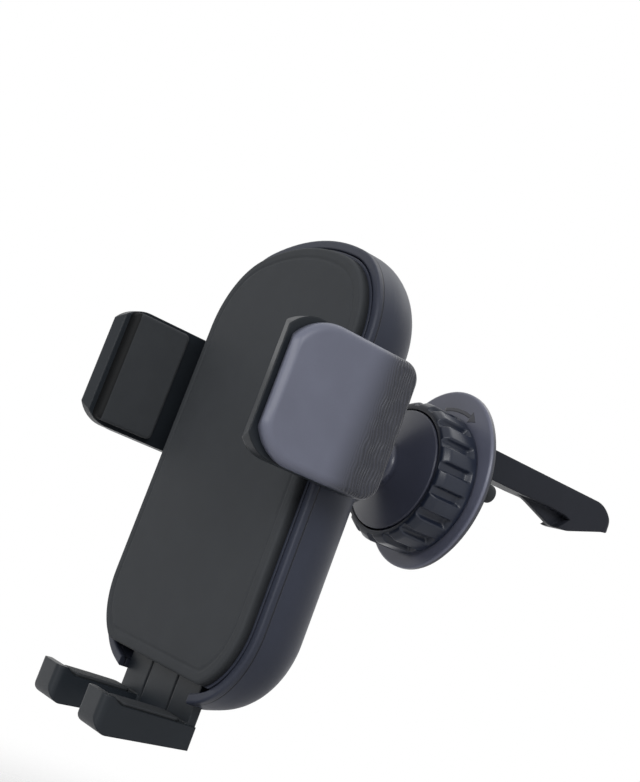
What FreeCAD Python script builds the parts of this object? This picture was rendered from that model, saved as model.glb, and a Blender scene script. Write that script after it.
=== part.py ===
import FreeCAD, Part
import math
import os
import Sketcher

# Air vent phone holder: a cradle with two squeezing arms and a sliding foot, carried on a 17 mm ball
# by a clip that a ribbed knob pulls tight against a vent slat.
# Frame: the origin is where the clip's axis meets the face that rests on the vent. +Y points into
# the vent, +Z runs up along the phone, +X is to the right of someone facing the screen. Millimetres.

V = FreeCAD.Vector

SIZES = [
    # Cradle outline
    ("half_width", 34.6, "half the width of the cradle"),
    ("crown_z", 41.6, "top of the cradle above the clip axis"),
    ("base_z", 68.6, "bottom of the cradle below the clip axis"),
    ("crown_r", 66.0, "radius of the top of the outline"),
    ("shoulder_r", 22.0, "radius of the two upper corners"),
    ("base_r", 68.0, "radius of the bottom of the outline"),
    ("corner_r", 20.0, "radius of the two lower corners"),
    # Cradle layers, front to back
    ("rim_ahead", 56.2, "cradle rim ahead of the vent face"),
    ("cradle_deep", 16.5, "depth of the rear shell"),
    ("shell_wall", 2.2, "wall of the rear shell"),
    ("back_round", 12.0, "rounding of the shell's back edge"),
    ("rim_round", 0.5, "rounding of the shell's rim"),
    ("gap", 0.3, "clearance between pieces that move past each other"),
    ("snug", 0.1, "clearance of a piece that sits in another"),
    ("fit", 0.08, "running clearance of a shaft or a ball"),
    ("cover_thick", 2.2, "front cover"),
    ("pad_thick", 2.5, "soft pad on the front cover"),
    ("pad_inset", 3.0, "pad edge inside the cradle outline"),
    ("pad_round", 0.8, "rounding of the pad's front edge"),
    ("window_z", 61.5, "lower edge of cover and pad below the clip axis"),
    ("post_x", 17.0, "upper screw posts from the middle"),
    ("post_z", 23.0, "upper screw posts above the clip axis"),
    ("low_post_x", 21.4, "lower screw posts from the middle"),
    ("low_post_z", 44.0, "lower screw posts below the clip axis"),
    ("post_r", 2.4, "outside of a screw post"),
    ("screw_r", 1.0, "shank of a housing screw"),
    ("head_r", 1.9, "head of a housing screw"),
    ("head_high", 1.1, "height of a screw head"),
    ("screw_long", 7.0, "length of a screw under its head"),
    # Rack and pinion that move the arms together
    ("gear_module", 1.0, "tooth module of pinion and racks"),
    ("teeth", 12.0, "teeth on the pinion"),
    ("backlash", 0.16, "play on each flank of a tooth"),
    ("rack_high", 5.0, "height of a rack bar behind its teeth"),
    ("rack_thick", 3.4, "thickness of a rack bar"),
    ("rack_reach", 14.0, "how far a rack bar passes the middle"),
    ("plate_thick", 0.8, "plate in front of the racks"),
    ("plate_half", 27.0, "half the width of that plate"),
    ("guide_wide", 2.2, "rails above and below the racks"),
    ("pin_r", 2.0, "pinion pin"),
    ("pin_boss_r", 3.4, "boss round the pinion pin"),
    # Arms
    ("arm_clear", 3.4, "side plate of an arm from the side of the cradle"),
    ("arm_pad_thick", 2.6, "soft pad of an arm"),
    ("arm_core_thick", 3.5, "side plate of an arm"),
    ("arm_cover_thick", 3.5, "outer cover of an arm"),
    ("arm_front", 80.5, "front edge of an arm ahead of the vent face"),
    ("arm_back", 47.2, "back edge of an arm ahead of the vent face"),
    ("arm_half_high", 15.1, "half the height of an arm"),
    ("arm_front_r", 8.5, "front corners of an arm"),
    ("arm_back_r", 4.0, "back corners of an arm"),
    ("arm_edge_r", 1.8, "rounding of an arm's outer edge"),
    ("arm_bevel", 3.2, "how far an arm's front edge leans back inwards"),
    ("arm_pad_front", 75.6, "front of an arm's pad ahead of the vent face"),
    ("arm_pad_back", 60.7, "back of an arm's pad ahead of the vent face"),
    ("arm_pad_inset", 1.0, "pad inside the arm's top and bottom"),
    # Foot
    ("foot_half", 17.4, "half the width over both hooks"),
    ("hook_gap", 7.5, "inner side of a foot hook from the middle"),
    ("slide_half", 16.9, "half the width of the foot's slide"),
    ("slide_top", 22.0, "top of the slide below the clip axis"),
    ("slide_thick", 2.0, "thickness of the slide"),
    ("foot_front", 74.7, "front of the foot hooks ahead of the vent face"),
    ("foot_top", 69.2, "lip of the foot hooks below the clip axis"),
    ("foot_dip", 1.3, "phone seat below the lip"),
    ("lip_thick", 2.4, "lip of a foot hook, front to back"),
    ("foot_deep", 8.0, "height of a foot hook"),
    ("foot_rise", 1.6, "how much higher the underside is at the back"),
    ("foot_edge_r", 3.2, "rounding of the hook's lower front edge"),
    ("foot_side_r", 1.8, "rounding of the hook's upright front edges"),
    ("foot_wall", 1.8, "walls of the hollow under a hook"),
    ("foot_pad_thick", 0.8, "soft pads on the foot"),
    ("groove_x", 6.4, "grooves in the slide from the middle"),
    ("groove_wide", 0.9, "width of a groove in the slide"),
    ("groove_deep", 0.5, "depth of a groove in the slide"),
    # Release
    ("latch_half", 4.0, "half the width of the latch"),
    ("latch_tip", 0.35, "latch teeth below the ratchet at rest"),
    ("notch_pitch", 2.0, "pitch of the ratchet notches"),
    ("notch_deep", 1.0, "depth of a ratchet notch"),
    ("latch_foot", 32.0, "lower end of the latch below the clip axis"),
    ("spring_floor", 38.0, "wall under the latch spring below the clip axis"),
    ("button_z", 27.0, "release button below the clip axis"),
    ("button_half", 5.7, "half the width of the button"),
    ("button_tall", 3.7, "half the height of the button"),
    ("button_proud", 1.4, "how far the button stands out of the back"),
    ("button_travel", 2.0, "press of the button"),
    ("wedge_slope", 0.6, "latch travel for each millimetre of press"),
    # Ball joint
    ("ball_ahead", 28.7, "centre of the ball ahead of the vent face"),
    ("ball_r", 8.5, "radius of the 17 mm ball"),
    ("liner", 1.0, "thickness of the two liners round the ball"),
    ("socket_wall", 1.5, "claws of the socket"),
    ("socket_back", 24.5, "end of the claws ahead of the vent face"),
    ("claw_slot", 1.4, "slots between the claws"),
    ("nut_wall", 2.9, "ring nut round the claws"),
    ("nut_back", 25.6, "back of the ring nut ahead of the vent face"),
    ("nut_ribs", 16.0, "ribs on the ring nut"),
    # Clip
    ("neck_r", 4.6, "neck behind the ball"),
    ("neck_end", 17.2, "where the neck meets the collar ahead of the vent face"),
    ("collar_in_r", 6.0, "inner radius of the collar's cone"),
    ("collar_r", 15.4, "rim of the collar"),
    ("collar_ahead", 13.9, "front of the collar's rim ahead of the vent face"),
    ("collar_thick", 1.6, "thickness of the collar's rim"),
    ("knob_r", 18.4, "largest radius of the knob"),
    ("knob_front_r", 17.2, "radius of the knob at its front bevel"),
    ("knob_ahead", 13.6, "front of the knob ahead of the vent face"),
    ("knob_back", 2.7, "back of the knob ahead of the vent face"),
    ("knob_skirt", 1.6, "plain rim behind the knob's ribs"),
    ("knob_ribs", 18.0, "ribs round the knob"),
    ("rib_groove", 2.3, "width of a groove between ribs"),
    ("rib_deep", 1.5, "depth of a groove between ribs"),
    ("hub_r", 13.3, "outside of the hub inside the knob"),
    ("hub_in_r", 11.0, "inside of the hub"),
    ("lug_half", 4.0, "half the width of the slots in the hub"),
    ("flange_half", 21.4, "half the width of the flange"),
    ("flange_tall", 23.5, "half the height of the flange"),
    ("flange_up", 1.7, "centre of the flange above the clip axis"),
    ("flange_rim", 1.4, "thickness of the flange at its rim"),
    ("flange_face", 3.2, "floor inside the hub ahead of the vent face"),
    ("vent_pad", 1.0, "soft pad behind the flange"),
    ("peg_x", 17.4, "pegs of the vent pad from the middle"),
    ("peg_r", 2.3, "radius of a peg"),
    ("peg_long", 3.8, "how far a peg stands out"),
    # Hook that the knob pulls
    ("carriage_thick", 2.2, "disc that the knob's thread draws along"),
    ("shank_half", 3.5, "half the width of the square shank"),
    ("root_front", 7.6, "front of the hook's root behind the vent face"),
    ("root_thick", 4.4, "thickness of the hook's root"),
    ("root_low", 5.0, "foot of the root below the clip axis"),
    ("bar_low", 7.7, "underside of the hook bar above the clip axis"),
    ("bar_high", 15.1, "top of the hook bar above the clip axis"),
    ("bar_half", 3.5, "half the width of the hook bar"),
    ("bar_end", 59.6, "tip of the hook behind the vent face"),
    ("heel_y", 42.2, "middle of the hook's heel behind the vent face"),
    ("heel_z", 3.8, "underside of the heel above the clip axis"),
    ("heel_long", 6.0, "length of the heel's rounding"),
    ("tip_low_r", 2.4, "lower corner of the hook's tip"),
    ("tip_high_r", 8.0, "upper corner of the hook's tip"),
    ("tip_side_r", 1.8, "upright corners of the hook's tip"),
    ("web_half", 0.8, "half the thin web between the hollows of the hook"),
    ("hollow_start", 25.7, "front of those hollows behind the vent face"),
    ("hollow_end", 44.4, "back of those hollows behind the vent face"),
]


class Size:
    """A length with its formula: a number to place geometry by and the text that binds it."""

    def __init__(self, value, text):
        self.value = float(value)
        self.text = text

    def __add__(self, other):
        other = size(other)
        return Size(self.value + other.value, f"({self.text} + {other.text})")

    def __radd__(self, other):
        return size(other) + self

    def __sub__(self, other):
        other = size(other)
        return Size(self.value - other.value, f"({self.text} - {other.text})")

    def __rsub__(self, other):
        return size(other) - self

    def __mul__(self, other):
        other = size(other)
        return Size(self.value * other.value, f"({self.text} * {other.text})")

    def __rmul__(self, other):
        return size(other) * self

    def __truediv__(self, other):
        other = size(other)
        return Size(self.value / other.value, f"({self.text} / {other.text})")

    def __rtruediv__(self, other):
        return size(other) / self

    def __neg__(self):
        return size(0) - self


def size(thing):
    """A plain number counts as a Size too."""
    return thing if isinstance(thing, Size) else Size(thing, f"{float(thing):.6f}")


def root(length):
    return Size(math.sqrt(length.value), f"sqrt({length.text})")


class Sheet:
    """The driving dimensions: each one is a cell with an alias, read back as a Size."""

    def __init__(self, document, rows):
        self.cells = document.addObject("Spreadsheet::Sheet", "Sizes")
        self.values = {}
        for row, (name, value, words) in enumerate(rows, start=1):
            self.cells.set(f"A{row}", words)
            self.cells.set(f"B{row}", str(value))
            self.cells.setAlias(f"B{row}", name)
            self.values[name] = value
        document.recompute()

    def __getattr__(self, name):
        return Size(self.values[name], "Sizes." + name)


doc = FreeCAD.newDocument("vent_phone_holder")
at = Sheet(doc, SIZES)
PARTS = []


# Drawing helpers

# Along each origin plane's own normal: the sign of a pad's direction on the model's axis.
NORMALS = {"XY_Plane": 1, "XZ_Plane": -1, "YZ_Plane": 1}


def new_body(name):
    """A sub-part as a body of its own; its label names its file."""
    body = doc.addObject("PartDesign::Body", name)
    body.Label = name
    PARTS.append(body)
    return body


def arc_through(start, end, radius):
    """The minor arc that runs counter-clockwise from start to end."""
    middle = (start + end) * 0.5
    chord = end - start
    side = V(-chord.y, chord.x, 0)
    side.normalize()
    centre = middle + side * math.sqrt(max(radius ** 2 - chord.Length ** 2 / 4, 0.0))
    first = math.atan2(start.y - centre.y, start.x - centre.x)
    last = math.atan2(end.y - centre.y, end.x - centre.x)
    return Part.ArcOfCircle(Part.Circle(centre, V(0, 0, 1), radius), first, last)


def bound(sketch, kind, *where):
    """A constraint whose value is a Size, tied to the sheet."""
    *places, length = where
    length = size(length)
    index = sketch.addConstraint(Sketcher.Constraint(kind, *places, length.value))
    sketch.setExpression(f"Constraints[{index}]", length.text)


def draw_circle(sketch, x, y, radius):
    x, y, radius = size(x), size(y), size(radius)
    circle = Part.Circle(V(x.value, y.value, 0), V(0, 0, 1), radius.value)
    edge = sketch.addGeometry(circle, False)
    bound(sketch, "Radius", edge, radius)
    bound(sketch, "DistanceX", -1, 1, edge, 3, x)
    bound(sketch, "DistanceY", -1, 1, edge, 3, y)


def draw_loop(sketch, corners):
    """A closed outline, counter-clockwise. A corner is (x, y), or (x, y, radius) where an arc that
    bulges outwards leads on to the next corner, or (x, y, -radius) where that arc is hollow."""
    points = [(size(c[0]), size(c[1])) for c in corners]
    spots = [V(x.value, y.value, 0) for x, y in points]
    count = len(corners)
    edges = []
    for i, corner in enumerate(corners):
        here, there = spots[i], spots[(i + 1) % count]
        if len(corner) == 2:
            edges.append((sketch.addGeometry(Part.LineSegment(here, there), False), 1, 2))
            continue
        radius = size(corner[2])
        if radius.value > 0:
            edge = sketch.addGeometry(arc_through(here, there, radius.value), False)
            edges.append((edge, 1, 2))
            bound(sketch, "Radius", edge, radius)
        else:
            edge = sketch.addGeometry(arc_through(there, here, -radius.value), False)
            edges.append((edge, 2, 1))
            bound(sketch, "Radius", edge, -radius)
    for i, (edge, first, last) in enumerate(edges):
        follower, start, _ = edges[(i + 1) % count]
        sketch.addConstraint(Sketcher.Constraint("Coincident", edge, last, follower, start))
        bound(sketch, "DistanceX", -1, 1, edge, first, points[i][0])
        bound(sketch, "DistanceY", -1, 1, edge, first, points[i][1])


def sketch_at(body, role, level, loops):
    """A sketch on one of the body's origin planes, moved to a level on the model's axis."""
    sketch = body.newObject("Sketcher::SketchObject", f"sketch_of_{body.Name}")
    plane = [item for item in body.Origin.OriginFeatures if item.Role == role][0]
    sketch.AttachmentSupport = [(plane, "")]
    sketch.MapMode = "FlatFace"
    offset = size(level) * NORMALS[role]
    sketch.AttachmentOffset = FreeCAD.Placement(V(0, 0, offset.value), FreeCAD.Rotation())
    sketch.setExpression("AttachmentOffset.Base.z", offset.text)
    for loop in loops:
        if loop[0] == "circle":
            draw_circle(sketch, *loop[1:])
        else:
            draw_loop(sketch, loop)
    return sketch


def box_loop(x_low, x_high, y_low, y_high):
    return [(x_low, y_low), (x_high, y_low), (x_high, y_high), (x_low, y_high)]


def round_box_loop(x_low, x_high, y_low, y_high, r_low, r_high):
    """A rectangle with rounded corners: r_low at the low x side, r_high at the high x side."""
    return [
        (x_low + r_low, y_low), (x_high - r_high, y_low, r_high),
        (x_high, y_low + r_high), (x_high, y_high - r_high, r_high),
        (x_high - r_high, y_high), (x_low + r_low, y_high, r_low),
        (x_low, y_high - r_low), (x_low, y_low + r_low, r_low),
    ]


def pad(body, role, low, high, *loops):
    """Material between two levels on the axis that the plane faces."""
    low, high = size(low), size(high)
    start = low if NORMALS[role] > 0 else high
    feature = body.newObject("PartDesign::Pad", f"pad_of_{body.Name}")
    feature.Profile = sketch_at(body, role, start, loops)
    feature.Length = (high - low).value
    feature.setExpression("Length", (high - low).text)
    return feature


def pocket(body, role, low, high, *loops):
    """A cut between two levels on the axis that the plane faces."""
    low, high = size(low), size(high)
    start = high if NORMALS[role] > 0 else low
    feature = body.newObject("PartDesign::Pocket", f"pocket_of_{body.Name}")
    feature.Profile = sketch_at(body, role, start, loops)
    feature.Length = (high - low).value
    feature.setExpression("Length", (high - low).text)
    return feature


def turned(body, kind, *loops):
    """A profile of (radius, y) turned about the body's Y axis."""
    sketch = sketch_at(body, "XY_Plane", 0, loops)
    feature = body.newObject(f"PartDesign::{kind}", f"turning_of_{body.Name}")
    feature.Profile = sketch
    feature.ReferenceAxis = (sketch, ["V_Axis"])
    feature.Angle = 360
    return feature


def around(body, feature, count):
    """Copies of one feature about the body's Y axis."""
    pattern = body.newObject("PartDesign::PolarPattern", f"ring_of_{body.Name}")
    pattern.Originals = [feature]
    axis = [item for item in body.Origin.OriginFeatures if item.Role == "Y_Axis"][0]
    pattern.Axis = (axis, [""])
    pattern.Angle = 360
    pattern.Occurrences = int(round(count.value))
    pattern.setExpression("Occurrences", count.text)
    body.Tip = pattern
    return pattern


def along_x(body, feature, count, length):
    """Copies of one feature in a row along the body's X axis."""
    pattern = body.newObject("PartDesign::LinearPattern", f"row_of_{body.Name}")
    pattern.Originals = [feature]
    axis = [item for item in body.Origin.OriginFeatures if item.Role == "X_Axis"][0]
    pattern.Direction = (axis, [""])
    pattern.Length = length.value
    pattern.setExpression("Length", length.text)
    pattern.Occurrences = count
    body.Tip = pattern
    return pattern


def rounded(body, radius, chosen, kind="Fillet"):
    """Rounds or bevels the edges of the body so far that the test picks."""
    doc.recompute()
    base = body.Tip
    edges = [f"Edge{i}" for i, edge in enumerate(base.Shape.Edges, start=1) if chosen(edge.BoundBox)]
    if not edges:
        raise RuntimeError(f"no edge of {body.Label} is where its rounding should be")
    feature = body.newObject(f"PartDesign::{kind}", f"{kind.lower()}_of_{body.Name}")
    feature.Base = (base, edges)
    radius = size(radius)
    name = "Radius" if kind == "Fillet" else "Size"
    setattr(feature, name, radius.value)
    feature.setExpression(name, radius.text)
    return feature


def hollowed(body, wall, chosen):
    """Leaves a wall all round and opens the faces that the test picks."""
    doc.recompute()
    base = body.Tip
    faces = [f"Face{i}" for i, face in enumerate(base.Shape.Faces, start=1) if chosen(face.BoundBox)]
    if not faces:
        raise RuntimeError(f"no face of {body.Label} is where it should open")
    feature = body.newObject("PartDesign::Thickness", f"hollow_of_{body.Name}")
    feature.Base = (base, faces)
    feature.Value = wall.value
    feature.setExpression("Value", wall.text)
    feature.Reversed = True
    feature.Join = "Intersection"
    return feature


def flat_at_y(level, slack=0.01):
    """Picks the edges that lie wholly at one y."""
    return lambda box: abs(box.YMin - level.value) < slack and abs(box.YMax - level.value) < slack


def flat_at_x(level, slack=0.01):
    """Picks the edges that lie wholly at one x."""
    return lambda box: abs(box.XMin - level.value) < slack and abs(box.XMax - level.value) < slack


# Places that several pieces share

rim_y = -at.rim_ahead
back_y = rim_y + at.cradle_deep
floor_y = back_y - at.shell_wall
cover_back_y = rim_y + at.cover_thick
slide_front_y = cover_back_y + at.gap
slide_back_y = slide_front_y + at.slide_thick
plate_front_y = slide_back_y + at.gap
plate_back_y = plate_front_y + at.plate_thick
rack_back_y = -at.arm_back
rack_front_y = rack_back_y - at.rack_thick
ball_y = -at.ball_ahead
pitch_r = at.gear_module * at.teeth / 2
tooth_root = at.gear_module * 1.25
rack_low_z = pitch_r + tooth_root
rack_high_z = rack_low_z + at.rack_high
socket_r = at.ball_r + at.liner + at.fit * 2
claw_r = socket_r + at.socket_wall
pad_y = -at.vent_pad
flange_y = pad_y - at.flange_rim
arm_core_x = at.half_width + at.arm_clear
arm_grip_x = arm_core_x - at.arm_pad_thick
arm_cover_x = arm_core_x + at.arm_core_thick
arm_out_x = arm_cover_x + at.arm_cover_thick


def cradle_loop(inset):
    """The cradle's outline in x and z: a shallow crown, round shoulders, straight sides, round lower
    corners and a shallow base, all tangent. An inset moves every arc inwards by the same amount."""
    half = at.half_width - inset
    crown, shoulder = at.crown_r - inset, at.shoulder_r - inset
    base, corner = at.base_r - inset, at.corner_r - inset
    lean_top = (half - shoulder) / (crown - shoulder)
    rise_top = root(1 - lean_top * lean_top)
    lean_low = (half - corner) / (base - corner)
    rise_low = root(1 - lean_low * lean_low)
    crown_centre = at.crown_z - at.crown_r
    base_centre = at.base_r - at.base_z
    side_top = crown_centre + (crown - shoulder) * rise_top
    side_low = base_centre - (base - corner) * rise_low
    top_x, top_z = crown * lean_top, crown_centre + crown * rise_top
    low_x, low_z = base * lean_low, base_centre - base * rise_low
    return [
        (half, side_low), (half, side_top, shoulder),
        (top_x, top_z, crown), (-top_x, top_z, shoulder),
        (-half, side_top), (-half, side_low, corner),
        (-low_x, low_z, base), (low_x, low_z, corner),
    ]


def corner_loop(x, y, radius, side, end):
    """What rounding takes off an upright corner. Side and end tell which way the material ends there:
    1 towards +x or +y, -1 the other way."""
    def spot(across, along):
        return x + side * across, y + end * along
    first, last = spot(0, -radius), spot(-radius, 0)
    outer = [spot(at.gap, -radius), spot(at.gap, at.gap), spot(-radius, at.gap)]
    if side * end > 0:
        return [first, *outer, last + (-radius,)]
    return [first + (-radius,), last, *outer[::-1]]


def mirrored_boxes(x_low, x_high, z_low, z_high):
    """One rectangle on each side of the middle."""
    return [box_loop(x_low, x_high, z_low, z_high), box_loop(-x_high, -x_low, z_low, z_high)]


POSTS = [
    (at.post_x, at.post_z), (-at.post_x, at.post_z),
    (at.low_post_x, -at.low_post_z), (-at.low_post_x, -at.low_post_z),
]
PLATE_POST_X = at.plate_half - at.post_r * 3


def make_rear_shell():
    """The deep moulded back: a bowl with posts, rails and the claws of the ball socket."""
    body = new_body("rear_shell")
    pad(body, "XZ_Plane", rim_y, back_y, cradle_loop(size(0)))
    rounded(body, at.back_round, flat_at_y(back_y))
    hollowed(body, at.shell_wall, flat_at_y(rim_y))
    rounded(body, at.rim_round, flat_at_y(rim_y))
    inside_y = floor_y + at.shell_wall / 3
    pad(body, "XZ_Plane", cover_back_y, inside_y, *[("circle", x, z, at.post_r) for x, z in POSTS])
    # Rails above and below the racks, with room for the latch in the lower one.
    rail_z = rack_high_z + at.gap
    rail_x = at.plate_half
    latch_x = at.latch_half + at.gap
    pad(body, "XZ_Plane", plate_back_y, inside_y,
        box_loop(-rail_x, rail_x, rail_z, rail_z + at.guide_wide),
        *mirrored_boxes(latch_x, rail_x, -rail_z - at.guide_wide, -rail_z),
        ("circle", PLATE_POST_X, 0, at.post_r), ("circle", -PLATE_POST_X, 0, at.post_r))
    # Cheeks beside the latch and the wall that its spring stands on.
    cheek = latch_x + at.guide_wide / 2
    pad(body, "XZ_Plane", plate_back_y, inside_y,
        *mirrored_boxes(latch_x, cheek, -at.spring_floor, -rail_z - at.guide_wide),
        box_loop(-cheek, cheek, -at.spring_floor - at.guide_wide, -at.spring_floor))
    # Runners behind the foot's slide.
    runner_x = at.slide_half - at.groove_x / 2
    pad(body, "XZ_Plane", slide_back_y + at.snug, inside_y,
        *mirrored_boxes(runner_x - at.guide_wide / 2, runner_x, -at.low_post_z - at.post_r * 4,
                        -at.slide_top - at.post_r * 4))
    pad(body, "XZ_Plane", rack_back_y + at.snug, inside_y, ("circle", 0, 0, at.pin_boss_r))
    turned(body, "Revolution", box_loop(size(0), claw_r, inside_y, -at.socket_back))
    behind = at.ball_ahead - at.socket_back
    mouth_r = root(socket_r * socket_r - behind * behind)
    turned(body, "Groove", [
        (0, ball_y - socket_r, socket_r), (mouth_r, -at.socket_back), (0, -at.socket_back),
    ])
    half_slot = at.claw_slot / 2
    over = claw_r + at.gap
    slot_y = ball_y - at.ball_r / 2
    pocket(body, "XZ_Plane", slot_y, -at.socket_back, box_loop(-over, over, -half_slot, half_slot))
    pocket(body, "XZ_Plane", slot_y, -at.socket_back, box_loop(-half_slot, half_slot, -over, over))
    pocket(body, "XZ_Plane", floor_y - at.gap, back_y, button_loop(at.gap))
    pocket(body, "XZ_Plane", cover_back_y, cover_back_y + at.screw_long,
           *[("circle", x, z, at.screw_r - at.snug) for x, z in POSTS])
    pocket(body, "XZ_Plane", plate_back_y, plate_back_y + at.screw_long / 2,
           ("circle", PLATE_POST_X, 0, at.screw_r - at.snug),
           ("circle", -PLATE_POST_X, 0, at.screw_r - at.snug))
    pocket(body, "XZ_Plane", rack_back_y, floor_y, ("circle", 0, 0, at.pin_r + at.snug / 4))
    # The racks leave through the sides, the foot through the bottom.
    slot_low, slot_high = rack_low_z - at.gap, rack_high_z + at.gap
    slot = (rack_front_y - at.gap, rack_back_y + at.gap)
    inner_x, outer_x = at.half_width - at.shell_wall * 2, at.half_width + at.gap
    pocket(body, "YZ_Plane", inner_x, outer_x, box_loop(*slot, slot_low, slot_high))
    pocket(body, "YZ_Plane", -outer_x, -inner_x, box_loop(*slot, -slot_high, -slot_low))
    door = at.slide_half + at.gap
    pocket(body, "XZ_Plane", rim_y, slide_back_y + at.gap,
           box_loop(-door, door, -at.base_z - at.gap, -at.base_z + at.shell_wall * 2))
    return body


def button_loop(margin):
    """The button's outline in x and z: a flat middle between two round ends."""
    half, tall = at.button_half + margin, at.button_tall + margin
    low, high = -at.button_z - tall, -at.button_z + tall
    bulge = tall * 1.5
    return [(half - tall, low, bulge), (half - tall, high), (tall - half, high, bulge), (tall - half, low)]


def make_front_cover():
    """The flat lid of the cradle, cut straight above the foot's slide, with rails for the slide."""
    body = new_body("front_cover")
    seat = at.shell_wall + at.snug * 2
    pad(body, "XZ_Plane", rim_y, cover_back_y, cradle_loop(seat))
    rail_x = at.slide_half + at.gap
    pad(body, "XZ_Plane", cover_back_y, slide_back_y,
        *mirrored_boxes(rail_x, rail_x + at.guide_wide / 2, -at.window_z, -at.slide_top))
    pocket(body, "XZ_Plane", rim_y, slide_back_y, box_loop(-at.half_width, at.half_width,
                                                           -at.base_z, -at.window_z))
    pocket(body, "XZ_Plane", rim_y, cover_back_y,
           *[("circle", x, z, at.screw_r + at.snug) for x, z in POSTS])
    pocket(body, "XZ_Plane", rim_y, rim_y + at.head_high,
           *[("circle", x, z, at.head_r + at.snug) for x, z in POSTS])
    return body


def make_front_pad():
    """The soft pad that the phone's back rests on."""
    body = new_body("front_pad")
    face_y = rim_y - at.pad_thick
    pad(body, "XZ_Plane", face_y, rim_y, cradle_loop(at.pad_inset))
    pocket(body, "XZ_Plane", face_y, rim_y, box_loop(-at.half_width, at.half_width,
                                                     -at.base_z, -at.window_z))
    rounded(body, at.pad_round, flat_at_y(face_y))
    return body


def make_gear_plate():
    """The thin plate that keeps racks and pinion in their layer."""
    body = new_body("gear_plate")
    top = rack_high_z + at.gap + at.guide_wide
    pad(body, "XZ_Plane", plate_front_y, plate_back_y,
        box_loop(-at.plate_half, at.plate_half, -top, top),
        ("circle", 0, 0, at.pin_r + at.snug),
        ("circle", PLATE_POST_X, 0, at.screw_r + at.snug),
        ("circle", -PLATE_POST_X, 0, at.screw_r + at.snug))
    return body


def make_pinion_pin():
    body = new_body("pinion_pin")
    turned(body, "Revolution", box_loop(size(0), at.pin_r, plate_front_y, floor_y))
    return body


def block(kind, name, place, **lengths):
    """A plain solid at a place, its lengths tied to the sheet."""
    made = doc.addObject(f"Part::{kind}", name)
    for length, value in lengths.items():
        made.setExpression(length, size(value).text)
    for axis, value in zip("xyz", place):
        made.setExpression(f"Placement.Base.{axis}", size(value).text)
    return made


def joined(kind, name, base, tool):
    """Two solids made one, or the second cut from the first."""
    made = doc.addObject(f"Part::{kind}", name)
    made.Base = base
    made.Tool = tool
    return made


def screw_group(name, places, head_front, length):
    """Small screws with round heads and a cross recess, one solid each in one sub-part."""
    solids = []
    arm, half = at.head_r * 0.6, at.screw_r / 4
    deep = at.head_high / 2
    towards_back = FreeCAD.Placement(V(0, 0, 0), FreeCAD.Rotation(V(1, 0, 0), -90))
    for number, (x, z) in enumerate(places):
        head = block("Cylinder", f"{name}_head_{number}", (0, 0, 0),
                     Radius=at.head_r, Height=at.head_high)
        shank = block("Cylinder", f"{name}_shank_{number}", (0, 0, 0),
                      Radius=at.screw_r - at.snug * 2, Height=length)
        for piece, start in ((head, head_front), (shank, head_front + at.head_high)):
            piece.Placement = towards_back
            for axis, value in zip("xyz", (x, start, z)):
                piece.setExpression(f"Placement.Base.{axis}", size(value).text)
        screw = joined("Fuse", f"{name}_blank_{number}", head, shank)
        for turn, (wide, tall) in enumerate(((arm, half), (half, arm))):
            slot = block("Box", f"{name}_slot_{number}_{turn}", (x - wide, head_front, z - tall),
                         Length=wide * 2, Width=deep, Height=tall * 2)
            screw = joined("Cut", f"{name}_screw_{number}_{turn}", screw, slot)
        solids.append(screw)
    group = doc.addObject("Part::Compound", name)
    group.Links = solids
    group.Label = name
    PARTS.append(group)
    return group


def tooth_loop(tip_half, root_half, tip, foot):
    """A straight-flanked tooth that points down from foot to tip."""
    return [(-tip_half, tip), (tip_half, tip), (root_half, foot), (-root_half, foot)]


RACK_TEETH = 8
RATCHET_NOTCHES = 9
FLANK = math.tan(math.radians(25.0))
ROW_PITCH = math.pi
ADDENDUM = 0.9


def arm_loop(front_y, back_y_, half_high, front_r, back_r):
    """An arm's outline in y and z."""
    return round_box_loop(front_y, back_y_, -half_high, half_high, front_r, back_r)


def lean_loop():
    """What the leaning front edge takes off an arm, in x and y."""
    front = -at.arm_front
    inner, far = arm_grip_x, arm_out_x + at.gap
    return [(inner, front - at.gap), (far, front - at.gap), (far, front + at.snug),
            (inner, front + at.arm_bevel)]


def make_arm(name, side):
    """The arm's core: a side plate behind the pad and the rack bar that leaves it. The left one is
    the same moulding turned half round about the clip's axis."""
    body = new_body(name)
    outline = arm_loop(-at.arm_front, -at.arm_back, at.arm_half_high, at.arm_front_r, at.arm_back_r)
    pad(body, "YZ_Plane", arm_core_x, arm_cover_x, outline)
    high = at.arm_half_high + at.gap
    pocket(body, "XY_Plane", -high, high, lean_loop())
    bar_end = arm_core_x + at.snug
    pad(body, "XZ_Plane", rack_front_y, rack_back_y,
        box_loop(-at.rack_reach, bar_end, rack_low_z, rack_high_z))
    # Teeth stand a pitch apart, with one in the middle of the mesh at rest.
    pitch = at.gear_module * ROW_PITCH
    half_pitch = pitch / 4 - at.backlash
    addendum = at.gear_module * ADDENDUM
    tip_half = half_pitch - addendum * FLANK
    root_half = half_pitch + tooth_root * FLANK
    first = pitch * 4
    tooth = [(x - first, z) for x, z in tooth_loop(tip_half, root_half, pitch_r - addendum, rack_low_z)]
    feature = pad(body, "XZ_Plane", rack_front_y, rack_back_y, tooth)
    along_x(body, feature, RACK_TEETH, pitch * (RACK_TEETH - 1))
    # Ratchet notches on the far edge of the bar, for the latch.
    notch = [(-at.rack_reach + at.notch_pitch, rack_high_z),
             (-at.rack_reach + at.notch_pitch, rack_high_z - at.notch_deep),
             (-at.rack_reach + at.notch_pitch * 2, rack_high_z)]
    cut = pocket(body, "XZ_Plane", rack_front_y, rack_back_y, notch)
    along_x(body, cut, RATCHET_NOTCHES, at.notch_pitch * (RATCHET_NOTCHES - 1))
    if side < 0:
        body.Placement = FreeCAD.Placement(V(0, 0, 0), FreeCAD.Rotation(V(0, 1, 0), 180))
    return body


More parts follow.
